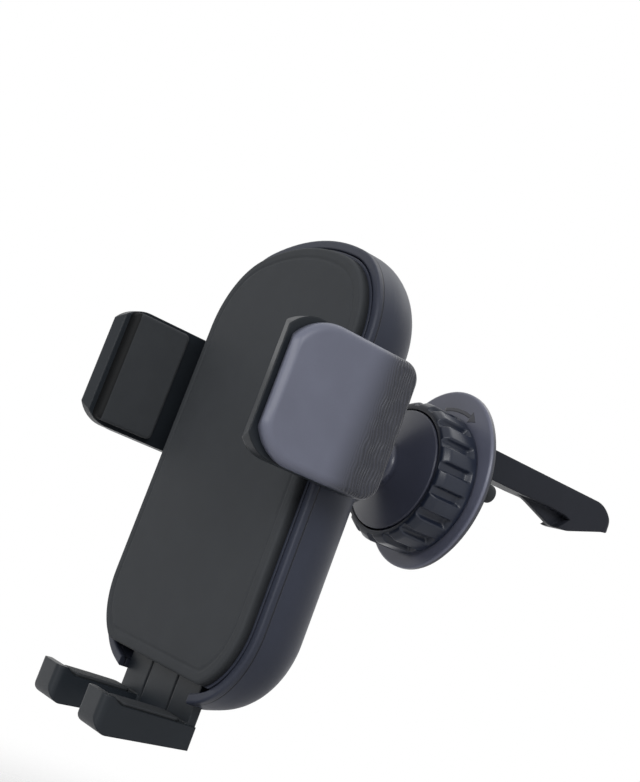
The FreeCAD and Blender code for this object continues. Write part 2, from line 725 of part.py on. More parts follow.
def make_arm_cover(name, side):
    """The smooth outer cover of an arm."""
    body = new_body(name)
    outline = arm_loop(-at.arm_front, -at.arm_back, at.arm_half_high, at.arm_front_r, at.arm_back_r)
    near, far = (arm_cover_x, arm_out_x) if side > 0 else (-arm_out_x, -arm_cover_x)
    pad(body, "YZ_Plane", near, far, outline)
    rounded(body, at.arm_edge_r, flat_at_x(far if side > 0 else near))
    high = at.arm_half_high + at.gap
    lean = lean_loop()
    if side < 0:
        lean = [(-x, y) for x, y in reversed(lean)]
    pocket(body, "XY_Plane", -high, high, lean)
    return body


def make_arm_pad(name, side):
    """The soft pad on the inner face of an arm."""
    body = new_body(name)
    front, back = -at.arm_pad_front, -at.arm_pad_back
    high = at.arm_half_high - at.arm_pad_inset
    slant = at.arm_pad_thick / 2
    outline = [(arm_grip_x, front), (arm_core_x, front - slant), (arm_core_x, back),
               (arm_grip_x, back)]
    if side < 0:
        outline = [(-x, y) for x, y in reversed(outline)]
    pad(body, "XY_Plane", -high, high, outline)
    return body


def make_pinion():
    """Twelve teeth in mesh with both racks: a tooth gap faces each of them at rest."""
    body = new_body("pinion_gear")
    front, back = rack_front_y + at.snug, rack_back_y - at.snug
    root_r = pitch_r - tooth_root
    pad(body, "XZ_Plane", front, back, ("circle", 0, 0, root_r), ("circle", 0, 0, at.pin_r + at.fit))
    pitch = at.gear_module * ROW_PITCH
    half = pitch / 4 - at.backlash
    addendum = at.gear_module * ADDENDUM
    tip = half - addendum * FLANK * 1.1
    foot = half + tooth_root * FLANK * 0.55
    # Half a pitch off the X axis, so that a gap faces each rack.
    tooth = [(root_r - at.snug, -foot), (pitch_r, -half), (pitch_r + addendum, -tip),
             (pitch_r + addendum, tip), (pitch_r, half), (root_r - at.snug, foot)]
    turn = math.pi / at.teeth.value
    tooth = [(x * math.cos(turn) - y * math.sin(turn), x * math.sin(turn) + y * math.cos(turn))
             for x, y in tooth]
    feature = pad(body, "XZ_Plane", front, back, tooth)
    around(body, feature, at.teeth)
    return body


def make_foot_slide():
    """The sliding plate with two hooks that hold the phone's lower edge."""
    body = new_body("foot_slide")
    low = -at.foot_top - at.foot_deep
    pad(body, "XZ_Plane", slide_front_y, slide_back_y,
        box_loop(-at.slide_half, at.slide_half, low + at.foot_rise, -at.slide_top))
    front, back = -at.foot_front, slide_back_y
    seat = -at.foot_top - at.foot_dip
    dip_r = at.lip_thick * 2
    profile = [
        (front, low + at.foot_edge_r, at.foot_edge_r), (front + at.foot_edge_r, low),
        (back, low + at.foot_rise), (back, seat),
        (front + at.lip_thick * 2, seat, -dip_r), (front + at.lip_thick, -at.foot_top),
        (front, -at.foot_top),
    ]
    for near, far in ((at.hook_gap, at.foot_half), (-at.foot_half, -at.hook_gap)):
        pad(body, "YZ_Plane", near, far, profile)
    pocket(body, "XY_Plane", low - at.gap, -at.foot_top + at.gap,
           *[corner_loop(x, front, at.foot_side_r, side, -1)
             for x, side in ((at.foot_half, 1), (at.hook_gap, -1), (-at.hook_gap, 1), (-at.foot_half, -1))])
    # The hooks are cored from below.
    wall = at.foot_wall
    near, far = at.hook_gap + wall, at.foot_half - wall
    hollow = (front + at.foot_edge_r + wall, back - at.slide_thick - wall)
    pocket(body, "XY_Plane", low - at.gap, seat - wall,
           box_loop(near, far, *hollow), box_loop(-far, -near, *hollow))
    groove = mirrored_boxes(at.groove_x - at.groove_wide / 2, at.groove_x + at.groove_wide / 2,
                            low + at.foot_rise, -at.slide_top)
    pocket(body, "XZ_Plane", slide_front_y, slide_front_y + at.groove_deep, *groove)
    return body


def make_foot_pads():
    """Two soft pads on the seats of the foot hooks."""
    seat = -at.foot_top - at.foot_dip
    front, back = -at.foot_front + at.lip_thick * 2, slide_front_y - at.foot_wall
    wall = at.foot_wall / 2
    wide = at.foot_half - at.hook_gap - at.foot_wall
    solids = []
    for number, low_x in enumerate((at.hook_gap + wall, wall - at.foot_half)):
        solids.append(block("Box", f"foot_pad_{number}", (low_x, front, seat),
                            Length=wide, Width=back - front, Height=at.foot_pad_thick))
    group = doc.addObject("Part::Compound", "foot_pads")
    group.Links = solids
    group.Label = "foot_pads"
    PARTS.append(group)
    return group


wedge_top_z = -at.button_z + at.button_tall - at.gap * 2
wedge_root_y = floor_y - at.plate_thick * 2
latch_back_y = rack_back_y - at.snug
latch_front_y = rack_front_y + at.snug


def wedge_low_z(y):
    """Underside of the button's wedge: it drops by the slope for each millimetre towards the back."""
    return -at.button_z + at.wedge_slope * (rack_front_y - y)


def make_latch():
    """The sliding latch: teeth above, a window that the button's wedge works in, a spring below."""
    body = new_body("latch")
    top = -rack_high_z - at.latch_tip - at.notch_deep
    half = at.latch_half
    pad(body, "XZ_Plane", latch_front_y, latch_back_y,
        box_loop(-half, half, -at.latch_foot, top))
    pitch = at.notch_pitch
    tooth = [(-pitch, top), (0, top), (-at.snug, top + at.notch_deep)]
    feature = pad(body, "XZ_Plane", latch_front_y, latch_back_y, tooth)
    along_x(body, feature, 2, pitch)
    travel = at.button_travel * at.wedge_slope
    window_top = wedge_top_z + travel + at.gap
    window_half = half / 2 + at.gap
    # In y and z: the window's sill has the slope of the wedge.
    sill = [(latch_front_y - at.gap, wedge_low_z(latch_front_y - at.gap) - at.snug),
            (latch_back_y + at.gap, wedge_low_z(latch_back_y + at.gap) - at.snug),
            (latch_back_y + at.gap, window_top), (latch_front_y - at.gap, window_top)]
    pocket(body, "YZ_Plane", -window_half, window_half, sill)
    return body


def make_button():
    """The release button in the back, with the wedge that pushes the latch down."""
    body = new_body("release_button")
    collar_y = floor_y - at.gap
    pad(body, "XZ_Plane", collar_y, back_y + at.button_proud, button_loop(size(0)))
    rounded(body, at.button_proud / 3, flat_at_y(back_y + at.button_proud))
    pad(body, "XZ_Plane", collar_y - at.plate_thick, collar_y, button_loop(at.plate_thick))
    half = at.latch_half / 2
    tip = rack_front_y + at.button_travel + at.snug
    root_y = collar_y - at.plate_thick / 2
    wedge = [(tip, wedge_low_z(tip)), (root_y, wedge_low_z(root_y)), (root_y, wedge_top_z),
             (tip, wedge_top_z)]
    pad(body, "YZ_Plane", -half, half, wedge)
    return body


def make_latch_spring():
    """A small compression spring between the latch and its wall."""
    coil_r = at.latch_half.value * 0.4
    wire = 0.35
    low, high = -at.spring_floor.value + wire, -at.latch_foot.value - wire
    turns = 4
    helix = Part.makeHelix((high - low) / turns, high - low, coil_r)
    section = Part.Wire([Part.makeCircle(wire, V(coil_r, 0, 0), V(0, 1, 0))])
    coil = Part.Wire(helix).makePipeShell([section], True, True)
    spring = doc.addObject("Part::Feature", "latch_spring")
    spring.Shape = coil
    middle = (latch_front_y.value + latch_back_y.value) / 2
    spring.Placement = FreeCAD.Placement(V(0, middle, low), FreeCAD.Rotation())
    spring.Label = "latch_spring"
    PARTS.append(spring)
    return spring


def liner_loop(inner, outer, first, last):
    """A sector of a spherical shell, from one angle behind the ball's front to another."""
    def spot(radius, angle):
        turn = math.radians(angle)
        return radius * math.sin(turn), ball_y - radius * math.cos(turn)
    return [spot(outer, first) + (outer,), spot(outer, last), spot(inner, last) + (-inner,),
            spot(inner, first)]


LINER_CUP_ANGLE = 58.0
LINER_RING_ANGLES = (64.0, 104.0)


def make_liners():
    """The two liners between ball and socket: a cup in front and a ring round the middle."""
    inner, outer = at.ball_r + at.fit, at.ball_r + at.fit + at.liner
    cup = new_body("ball_cup_liner")
    turned(cup, "Revolution", liner_loop(inner, outer, 0.0, LINER_CUP_ANGLE))
    ring = new_body("ball_ring_liner")
    turned(ring, "Revolution", liner_loop(inner, outer, *LINER_RING_ANGLES))
    return cup, ring


def make_socket_nut():
    """The ribbed ring nut that closes the claws on the ball."""
    body = new_body("socket_nut")
    inner, outer = claw_r + at.snug, claw_r + at.snug + at.nut_wall
    front, back = back_y + at.gap * 2, -at.nut_back
    turned(body, "Revolution", box_loop(inner, outer, front, back))
    rounded(body, at.gap * 2, lambda box: box.XLength > outer.value * 1.9, "Chamfer")
    width = at.claw_slot / 2
    cut = pocket(body, "XZ_Plane", front, back,
                 box_loop(-width, width, outer - at.nut_wall / 4, outer + at.gap))
    around(body, cut, at.nut_ribs)
    return body


def make_ball_stem():
    """Ball, neck, conical collar and the spigot that plugs the hub."""
    body = new_body("ball_stem")
    neck = at.neck_r
    reach = root(at.ball_r * at.ball_r - neck * neck)
    collar_back = -at.collar_ahead + at.collar_thick
    spigot_r = at.hub_in_r - at.snug
    spigot_back = collar_back + at.collar_thick
    ease = at.collar_in_r - neck
    turned(body, "Revolution", [
        (0, ball_y - at.ball_r, at.ball_r), (neck, ball_y + reach),
        (neck, -at.neck_end - ease, -ease), (at.collar_in_r, -at.neck_end),
        (at.collar_r, -at.collar_ahead), (at.collar_r, collar_back),
        (spigot_r, collar_back), (spigot_r, spigot_back), (0, spigot_back),
    ])
    return body


def ring_corners(wide, tall, up):
    """An oval from four arcs: end arcs of one radius at the top and bottom, side arcs of another."""
    end_r = wide - (tall - wide) * 0.6
    lift = tall - end_r
    side_r = (wide * wide + lift * lift - end_r * end_r) / (2 * (wide - end_r))
    reach = side_r - end_r
    dx, dz = (side_r - wide) / reach, lift / reach
    tx, tz = dx * end_r, lift + dz * end_r
    return [(tx, up - tz, side_r), (tx, up + tz, end_r), (-tx, up + tz, side_r), (-tx, up - tz, end_r)]


def make_vent_flange():
    """The oval flange with its hub: the knob turns on the hub, the hook slides inside it."""
    body = new_body("vent_flange")
    oval = ring_corners(at.flange_half, at.flange_tall, at.flange_up)
    pad(body, "XZ_Plane", flange_y, pad_y, oval)
    rounded(body, at.flange_rim / 2, flat_at_y(flange_y))
    hub_front = -at.collar_ahead + at.collar_thick + at.snug
    root_y = pad_y - at.flange_rim / 2
    turned(body, "Revolution", [
        (at.hub_r, root_y), (at.hub_r, hub_front), (at.hub_in_r, hub_front),
        (at.hub_in_r, -at.flange_face), (0, -at.flange_face), (0, root_y),
    ])
    over = at.hub_r + at.gap
    slot = at.lug_half
    inside = hub_front + at.collar_thick
    pocket(body, "XZ_Plane", inside, -at.flange_face, box_loop(-over, over, -slot, slot))
    hole = at.shank_half + at.snug
    pocket(body, "XZ_Plane", -at.flange_face, pad_y, box_loop(-hole, hole, -hole, hole))
    return body


def make_vent_pad():
    """The soft pad behind the flange, with a peg on each side that steadies the slat."""
    body = new_body("vent_pad")
    inset = at.flange_rim / 2
    oval = ring_corners(at.flange_half - inset, at.flange_tall - inset, at.flange_up)
    hole = at.shank_half + at.gap
    pad(body, "XZ_Plane", pad_y, 0, oval, box_loop(-hole, hole, -hole, hole))
    pad(body, "XZ_Plane", -at.vent_pad / 2, at.peg_long,
        ("circle", at.peg_x, at.flange_up, at.peg_r), ("circle", -at.peg_x, at.flange_up, at.peg_r))
    rounded(body, at.peg_r / 2, flat_at_y(at.peg_long))
    return body


def make_clamp_knob():
    """The ribbed ring that is turned to pull the hook in."""
    body = new_body("clamp_knob")
    front, back = -at.knob_ahead, -at.knob_back
    bore = at.hub_r + at.fit
    seat_r = at.collar_r + at.gap
    seat_y = -at.collar_ahead + at.collar_thick + at.snug
    bevel = at.knob_r - at.knob_front_r
    turned(body, "Revolution", [
        (bore, seat_y), (seat_r, seat_y), (seat_r, front), (at.knob_front_r, front),
        (at.knob_r, front + bevel * 1.5), (at.knob_r, back - bevel / 2),
        (at.knob_r - bevel / 2, back), (bore, back),
    ])
    half = at.rib_groove / 2
    deep = at.knob_r - at.rib_deep
    over = at.knob_r + at.gap
    cut = pocket(body, "XZ_Plane", front, back - at.knob_skirt,
                 [(-half / 2, deep), (half / 2, deep), (half, over), (-half, over)])
    around(body, cut, at.knob_ribs)
    return body


carriage_front_y = -at.flange_face - at.gap - at.carriage_thick


def make_hook_carriage():
    """The disc inside the hub: two lugs reach the knob's thread, the square shank carries the hook."""
    body = new_body("hook_carriage")
    disc_r = at.hub_in_r - at.gap
    back = carriage_front_y + at.carriage_thick
    turned(body, "Revolution", box_loop(size(0), disc_r, carriage_front_y, back))
    lug_r = at.hub_r - at.snug / 2
    half = at.lug_half - at.gap
    lug_x = root(lug_r * lug_r - half * half)
    pad(body, "XZ_Plane", carriage_front_y, back,
        [(lug_x, -half, lug_r), (lug_x, half), (-lug_x, half, lug_r), (-lug_x, -half)])
    shank = at.shank_half
    pad(body, "XZ_Plane", carriage_front_y + at.snug, at.root_front, box_loop(-shank, shank, -shank, shank))
    pocket(body, "XZ_Plane", at.root_front - at.screw_long, at.root_front,
           ("circle", 0, 0, at.screw_r + at.snug))
    return body


HEEL_ANGLE = math.radians(17.5)
BROW_SHARE = 0.45


def make_hook_bar():
    """The hook: a root bolted to the carriage, a bar into the vent and a heel behind the slat."""
    body = new_body("hook_bar")
    start, thick = at.root_front, at.root_thick
    low, high = at.bar_low, at.bar_high
    inner_r = at.root_thick / 2
    # The heel is an arc between two slopes, tangent to both.
    half = at.heel_long / 2
    heel_r = half / math.sin(HEEL_ANGLE)
    heel_top = at.heel_z + half * math.tan(HEEL_ANGLE / 2)
    slope = math.tan(HEEL_ANGLE)
    fall_y = at.heel_y - half - (low - heel_top) / slope
    ease = at.heel_long / 2
    ease_r = ease / math.tan(HEEL_ANGLE / 2)
    tip_y = at.bar_end - at.tip_low_r
    tip_z = heel_top + (tip_y - at.heel_y - half) * slope
    brow = at.tip_high_r * BROW_SHARE
    profile = [
        (start, -at.root_low), (start + thick, -at.root_low), (start + thick, low - inner_r, -inner_r),
        (start + thick + inner_r, low), (fall_y - ease, low, -ease_r),
        (fall_y + ease * math.cos(HEEL_ANGLE), low - ease * math.sin(HEEL_ANGLE)),
        (at.heel_y - half, heel_top, heel_r), (at.heel_y + half, heel_top),
        (tip_y, tip_z, at.tip_low_r), (at.bar_end, tip_z + at.tip_low_r / 2),
        (at.bar_end - at.tip_low_r / 2, high - brow, at.tip_high_r),
        (at.bar_end - at.tip_high_r, high), (start, high),
    ]
    pad(body, "YZ_Plane", -at.bar_half, at.bar_half, profile)
    # Both sides are hollowed down to a thin web above the heel's leading slope.
    below = at.heel_z - at.gap
    brim = low + at.gap
    hollow = [(at.hollow_start, low), (at.hollow_start, below), (at.heel_y - half / 2, below),
              (at.hollow_end, low - at.gap * 2), (at.heel_y, low), (at.heel_y - at.heel_long, brim)]
    for near, far in ((at.web_half, at.bar_half), (-at.bar_half, -at.web_half)):
        pocket(body, "YZ_Plane", near, far, hollow)
    pocket(body, "XZ_Plane", start, start + thick, ("circle", 0, 0, at.screw_r + at.snug))
    pocket(body, "XY_Plane", below, high + at.gap,
           *[corner_loop(side * at.bar_half, at.bar_end, at.tip_side_r, side, 1) for side in (1, -1)])
    return body


def make_hook_screw():
    """The screw that ties the hook's root to the carriage's shank."""
    body = new_body("hook_screw")
    head_y = at.root_front + at.root_thick
    tip = at.root_front - at.screw_long + at.gap
    turned(body, "Revolution", [
        (0, tip), (at.screw_r, tip), (at.screw_r, head_y), (at.head_r, head_y),
        (at.head_r, head_y + at.head_high), (0, head_y + at.head_high),
    ])
    return body


def make_all():
    make_rear_shell()
    make_front_cover()
    make_front_pad()
    make_gear_plate()
    make_pinion_pin()
    screw_group("cover_screws", POSTS, rim_y, at.screw_long - at.head_high)
    screw_group("plate_screws", [(PLATE_POST_X, 0), (-PLATE_POST_X, 0)],
                plate_front_y - at.head_high, at.screw_long / 2)
    for label, side in (("right", 1), ("left", -1)):
        make_arm(f"{label}_arm", side)
        make_arm_cover(f"{label}_arm_cover", side)
        make_arm_pad(f"{label}_arm_pad", side)
    make_pinion()
    make_foot_slide()
    make_foot_pads()
    make_latch()
    make_latch_spring()
    make_button()
    make_liners()
    make_socket_nut()
    make_ball_stem()
    make_vent_flange()
    make_vent_pad()
    make_clamp_knob()
    make_hook_carriage()
    make_hook_bar()
    make_hook_screw()


def check_and_write():
    """Every object has to be sound before any file is written."""
    doc.recompute()
    for thing in doc.Objects:
        if {"Invalid", "Error"} & set(thing.State):
            raise RuntimeError(f"{thing.Label} failed: {thing.State}")
    for thing in PARTS:
        if thing.Shape.isNull() or not thing.Shape.isValid():
            raise RuntimeError(f"{thing.Label} has no valid shape")
    os.makedirs("parts", exist_ok=True)
    for thing in PARTS:
        thing.Shape.exportStep(f"parts/{thing.Label}.step")
        print(thing.Label, len(thing.Shape.Solids), round(thing.Shape.Volume, 1))


make_all()
check_and_write()
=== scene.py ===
"""Looks of an air vent phone holder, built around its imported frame.

Run as a script. The sizes and colours that a user would change are properties, each group of pieces is
one operator, and main() calls them in order. Lengths of the shapes are in millimetres until
loops_piece() makes the mesh, and lengths of the finishes and the stage are in metres.
"""

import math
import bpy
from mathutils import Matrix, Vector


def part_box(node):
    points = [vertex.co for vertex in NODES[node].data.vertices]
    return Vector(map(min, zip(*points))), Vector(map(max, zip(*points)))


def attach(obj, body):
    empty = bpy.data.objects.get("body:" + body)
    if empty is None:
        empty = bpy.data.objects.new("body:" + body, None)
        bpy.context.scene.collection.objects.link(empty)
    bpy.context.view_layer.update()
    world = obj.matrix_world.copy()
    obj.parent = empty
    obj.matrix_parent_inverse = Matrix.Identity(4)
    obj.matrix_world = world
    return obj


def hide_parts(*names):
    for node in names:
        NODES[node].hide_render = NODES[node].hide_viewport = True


bl_info = {
    "name": "Vent Phone Holder",
    "version": (1, 0, 0),
    "blender": (4, 5, 0),
    "location": "View3D > Sidebar > Holder",
    "description": "Dresses the frame of an air vent phone holder with moulded, soft and metal finishes",
    "category": "Object",
}

import bmesh
import bpy
import numpy as np
from mathutils import Matrix

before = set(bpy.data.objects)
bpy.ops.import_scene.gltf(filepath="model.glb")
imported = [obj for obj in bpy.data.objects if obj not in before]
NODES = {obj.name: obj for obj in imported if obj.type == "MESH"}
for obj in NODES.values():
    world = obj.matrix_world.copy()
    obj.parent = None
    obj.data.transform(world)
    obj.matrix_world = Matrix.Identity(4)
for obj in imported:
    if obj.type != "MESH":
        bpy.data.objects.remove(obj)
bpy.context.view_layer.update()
MM = 0.001
# Lowest and highest corner of each node, in millimetres.
BOX = {name: [np.array(corner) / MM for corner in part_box(name)] for name in NODES}

# The cradle's outline: half its width, its top, its bottom and the radii of its four kinds of arc.
CRADLE_HALF = 34.6
CRADLE_TOP = 41.6
CRADLE_LOW = 68.6
CROWN_RADIUS = 66.0
SHOULDER_RADIUS = 22.0
CORNER_RADIUS = 20.0
BASE_RADIUS = 68.0

# An arm's cover: its room to the front of the solid, its corners from the lower front one round, the
# height that the slanted band gains per millimetre, and the front wall's lean per millimetre.
COVER_ROOM = 1.1
COVER_CORNERS = (10.5, 4.0, 4.0, 10.5)
BAND_SLOPE = 1.25
WALL_LEAN = 0.31

# Grip lines: their pitch, how far noise bends them, their depth, where along y they and the painted
# shade towards the cover's rear fade in, and how far out the cover's face begins.
GRIP_PITCH = 0.7
GRIP_BEND = 2.0
GRIP_DEPTH = 0.16
GRIP_FADE = (-57.5, -52.5)
GRIP_PAINTED_SHADE = (-62.0, -53.0)
COVER_FACE = (43.6, 44.2)

# The flange's arrow: its radius and depth, and the angles of its tip, its neck and its tail. The rim
# behind the flange's front, which gets painted shade, lies between two levels of y.
ARROW_RADIUS = 20.2
ARROW_DEPTH = 0.35
ARROW_TIP = 60.5
ARROW_NECK = 68.0
ARROW_TAIL = 98.0
FLANGE_SHADE_RIM = (-1.95, -1.6)

# An arm's pad: its corners, the slant of its front wall, and where behind the front its painted shade ends.
ARM_PAD_CORNER = 1.4
ARM_PAD_SLANT = 1.3
LIP_SHADE_SPAN = (1.7, 1.9)

# The foot's pads: the distance of each one from the middle, and their corners.
FOOT_PAD_INNER = 8.4
FOOT_PAD_CORNER = 1.2

# The vent pad: half its square hole, the place and radius of its pegs, and the depth and turns of its
# ripples from hole to edge, in radians.
VENT_HOLE = 3.9
PEG_PLACE = 17.4
PEG_RADIUS = 2.3
RIPPLE_DEPTH = 0.12
RIPPLE_TURNS = 48.0

# The knob's bore and recess, and the level of the recess' floor.
KNOB_BORE = 13.38
KNOB_RECESS = 15.7
KNOB_FLOOR = -12.2

# The camera's axes in the frame: its right, its down and the way it looks.
CAMERA_RIGHT = (0.5399, 0.7667, 0.3474)
CAMERA_DOWN = (0.0629, 0.3748, -0.9250)
CAMERA_AHEAD = (-0.8394, 0.5212, 0.1541)

# Each lamp's name, place and width, what all of them face, and the floor's reach and fade.
LAMPS = (("key", (0.95, -0.35, 0.55), 0.5), ("front", (0.4, -1.0, 0.24), 0.55),
         ("back", (-0.1, 0.6, 0.95), 0.9))
LAMP_TARGET = (0.0, -0.03, -0.01)
FLOOR_REACH = 2.0
FLOOR_FADE = (0.15, 0.5)


# Shader maths

class Value:
    """A shader socket that takes part in sums: each operator adds one Math node."""

    def __init__(self, paint, socket):
        self.paint = paint
        self.socket = socket

    def _math(self, operation, first, second=None):
        values = {0: first} if second is None else {0: first, 1: second}
        return self.paint.node("ShaderNodeMath", {"operation": operation}, values)

    def __add__(self, other):
        return self._math("ADD", self, other)

    def __radd__(self, other):
        return self._math("ADD", other, self)

    def __sub__(self, other):
        return self._math("SUBTRACT", self, other)

    def __rsub__(self, other):
        return self._math("SUBTRACT", other, self)

    def __mul__(self, other):
        return self._math("MULTIPLY", self, other)

    def __truediv__(self, other):
        return self._math("DIVIDE", self, other)

    def absolute(self):
        return self._math("ABSOLUTE", self)

    def sine(self):
        return self._math("SINE", self)

    def power(self, exponent):
        return self._math("POWER", self, exponent)

    def largest(self, other):
        return self._math("MAXIMUM", self, other)

    def step(self, low, high):
        """0 below low, 1 above high, and a smooth rise between."""
        ranged = {"interpolation_type": "SMOOTHSTEP", "clamp": True}
        values = {"Value": self, "From Min": low, "From Max": high, "To Min": 0.0, "To Max": 1.0}
        return self.paint.node("ShaderNodeMapRange", ranged, values, "Result")


class Paint:
    """A material under construction."""

    def __init__(self, name):
        self.material = bpy.data.materials.new(name)
        self.material.use_nodes = True
        self.tree = self.material.node_tree
        self.tree.nodes.clear()
        self.output = self.tree.nodes.new("ShaderNodeOutputMaterial")

    def node(self, kind, settings=None, values=None, result=0):
        """Adds a node: its settings first, then the values or links of its sockets."""
        made = self.tree.nodes.new(kind)
        for name, setting in (settings or {}).items():
            setattr(made, name, setting)
        for name, value in (values or {}).items():
            if isinstance(value, Value):
                self.tree.links.new(value.socket, made.inputs[name])
            else:
                made.inputs[name].default_value = value
        return Value(self, made.outputs[result])

    def place(self):
        return self.node("ShaderNodeTexCoord", result="Object")

    def axes(self):
        """The x, y and z of a point of the surface, in metres."""
        split = self.tree.nodes.new("ShaderNodeSeparateXYZ")
        self.tree.links.new(self.place().socket, split.inputs[0])
        return [Value(self, output) for output in split.outputs]

    def noise(self, size, detail=2.0, roughness=0.5, stretch=(1, 1, 1)):
        """Noise from 0 to 1 whose lumps are about size metres across."""
        scale = tuple(1 / (size * share) for share in stretch)
        scaled = self.node("ShaderNodeMapping", None, {"Vector": self.place(), "Scale": scale})
        return self.node("ShaderNodeTexNoise", None,
                         {"Vector": scaled, "Scale": 1.0, "Detail": detail, "Roughness": roughness})

    def mix(self, factor, first, second):
        settings = {"data_type": "RGBA"}
        return self.node("ShaderNodeMix", settings, {0: factor, 6: first, 7: second}, 2)

    def bump(self, height, depth, edge):
        """A normal from a height of 0 to 1 that stands for depth metres, on edges eased by a radius."""
        eased = self.node("ShaderNodeBevel", {"samples": 6}, {"Radius": edge})
        return self.node("ShaderNodeBump", None,
                         {"Height": height, "Distance": depth, "Strength": 1.0, "Normal": eased})

    def surface(self, gloss, **values):
        """Ends the material: gloss is the constant specular level, the rest go to sockets by name."""
        named = {name.replace("_", " ").title(): value for name, value in values.items()}
        shader = self.node("ShaderNodeBsdfPrincipled", None, {"Specular IOR Level": gloss, **named})
        self.tree.links.new(shader.socket, self.output.inputs["Surface"])
        return self.material


def opaque(colour, factor=1.0):
    return tuple(channel * factor for channel in colour[:3]) + (1.0,)


# Finishes

def moulded_plastic(name, colour, roughness=0.42, gloss=0.2, grain=0.16, depth=0.012, edge=0.4, relief=None):
    """Spark-eroded moulded plastic: a fine even grain, flow clouds too faint to see as such, and a
    gloss that changes a little where hands have been. Grain, depth and edge are in millimetres. A
    relief returns a height, its depth in millimetres and a darkening from 0 to 1, and stands in the
    surface besides the grain. The darkening is painted shade, and on the flange also the arrow's darker
    mark."""
    paint = Paint(name)
    clouds = paint.noise(14 * MM, detail=3.0)
    handled = paint.noise(5 * MM, detail=4.0, roughness=0.6)
    pits = paint.noise(grain * MM, detail=3.0, roughness=0.65)
    shade = paint.mix(clouds.step(0.3, 0.7), opaque(colour, 0.93), opaque(colour, 1.07))
    shade = paint.mix(pits.step(0.42, 0.62) * 0.35, shade, opaque(colour, 0.86))
    height, deepest = pits, depth
    if relief:
        raised, deepest, dark = relief(paint)
        height = raised + pits * (depth / deepest)
        # The relief's darkening: painted shade, and on the flange the arrow's darker mark.
        shade = paint.mix(dark, shade, opaque(colour, 0.2))
    return paint.surface(
        gloss,
        base_color=shade,
        roughness=roughness - 0.05 + handled * 0.1 + pits * 0.05,
        normal=paint.bump(height, deepest * MM, edge * MM),
    )


def grip_lines_and_shade(paint):
    """Fine wavy lines over the rear third of an arm's cover: a sine across the depth, bent by slow
    noise, which fades in along a slant. Painted shade darkens the cover towards its rear and in the
    grooves between the lines."""
    x, y, z = paint.axes()
    bend = paint.noise(3.2 * MM, detail=1.0, roughness=0.4, stretch=(1, 1, 1.5))
    across = y / MM + z * (0.1 / MM) + bend * GRIP_BEND
    wave = (across * (2 * math.pi / GRIP_PITCH)).sine() * 0.5 + 0.5
    slanted = y / MM - z * (0.06 / MM)
    zone = slanted.step(*GRIP_FADE) * (x.absolute() / MM).step(*COVER_FACE)
    # Painted shade: darker towards the rear of the cover and in the grooves of the lines.
    dark = slanted.step(*GRIP_PAINTED_SHADE) * 0.85 + zone * (1 - wave) * 0.3
    return wave * zone, GRIP_DEPTH, dark


def arrow_and_rim_shade(paint):
    """A raised arc with an arrow head on the flange's front, which tells the knob's turning way, and
    painted shade on the rim behind the front."""
    x, y, z = paint.axes()
    radius = (x * x + z * z).power(0.5) / MM
    angle = paint.node("ShaderNodeMath", {"operation": "ARCTAN2"}, {0: z, 1: x}) * (180 / math.pi)
    away = (radius - ARROW_RADIUS).absolute()
    reach = angle.step(ARROW_NECK, ARROW_NECK + 1.0) * (1 - angle.step(ARROW_TAIL, ARROW_TAIL + 1.0))
    shaft = (1 - away.step(0.36, 0.5)) * reach
    along = (angle - ARROW_TIP) / 8.0
    head = (1 - (away - along * 1.5).step(0.0, 0.15)) * angle.step(ARROW_TIP - 0.3, ARROW_TIP + 0.3)
    head = head * (1 - angle.step(ARROW_NECK, ARROW_NECK + 0.6))
    mark = shaft.largest(head)
    # Painted shade on the flange's rim behind its front.
    rim = (y / MM).step(*FLANGE_SHADE_RIM)
    return mark, ARROW_DEPTH, (mark * 0.8).largest(rim * 0.85)


def parting_seam_shade(paint):
    """A fine seam groove round the shell, a little behind its rim, darkened with painted shade."""
    _, y, _ = paint.axes()
    rim = BOX["rear_shell"][0][1]
    seam = 1 - (y / MM - (rim + 1.5)).absolute().step(0.1, 0.22)
    # Painted shade in the seam's groove.
    return 1 - seam, 0.14, seam * 0.8


def soft_rubber(name, colour, painted_shade=None):
    """Soft moulded pad: dull, with a very fine cast skin and a dusting of paler specks. The optional
    last argument returns a darkening from 0 to 1 of painted shade."""
    paint = Paint(name)
    skin = paint.noise(0.09 * MM, detail=4.0, roughness=0.7)
    worn = paint.noise(6 * MM, detail=4.0, roughness=0.6)
    dust = paint.noise(0.35 * MM, detail=1.0).step(0.72, 0.86)
    shade = paint.mix(worn.step(0.35, 0.7), opaque(colour, 0.97), opaque(colour, 1.04))
    shade = paint.mix(dust * 0.15, shade, opaque(colour, 1.8))
    if painted_shade:
        # Painted shade: darkens the pad where the given function says.
        shade = paint.mix(painted_shade(paint), shade, opaque(colour, 0.15))
    return paint.surface(
        0.12,
        base_color=shade,
        roughness=0.62 + worn * 0.05,
        normal=paint.bump(skin, 0.02 * MM, 0.2 * MM),
    )


def painted_lip_shade(paint):
    """Painted shade: the slanted front wall of an arm's pad is darkened to black."""
    _, y, _ = paint.axes()
    front = BOX["right_arm_pad"][0][1]
    return 1 - (y / MM).step(*(front + place for place in LIP_SHADE_SPAN))


def bright_steel(name, colour):
    """Zinc-plated steel with fine turning marks."""
    paint = Paint(name)
    marks = paint.noise(0.12 * MM, detail=2.0, roughness=0.5, stretch=(8, 1, 8))
    haze = paint.noise(1.5 * MM, detail=3.0)
    return paint.surface(
        0.5,
        base_color=paint.mix(haze, opaque(colour, 0.88), opaque(colour)),
        metallic=1.0,
        roughness=0.28 + haze * 0.12 + marks * 0.06,
        normal=paint.bump(marks, 0.004 * MM, 0.1 * MM),
    )


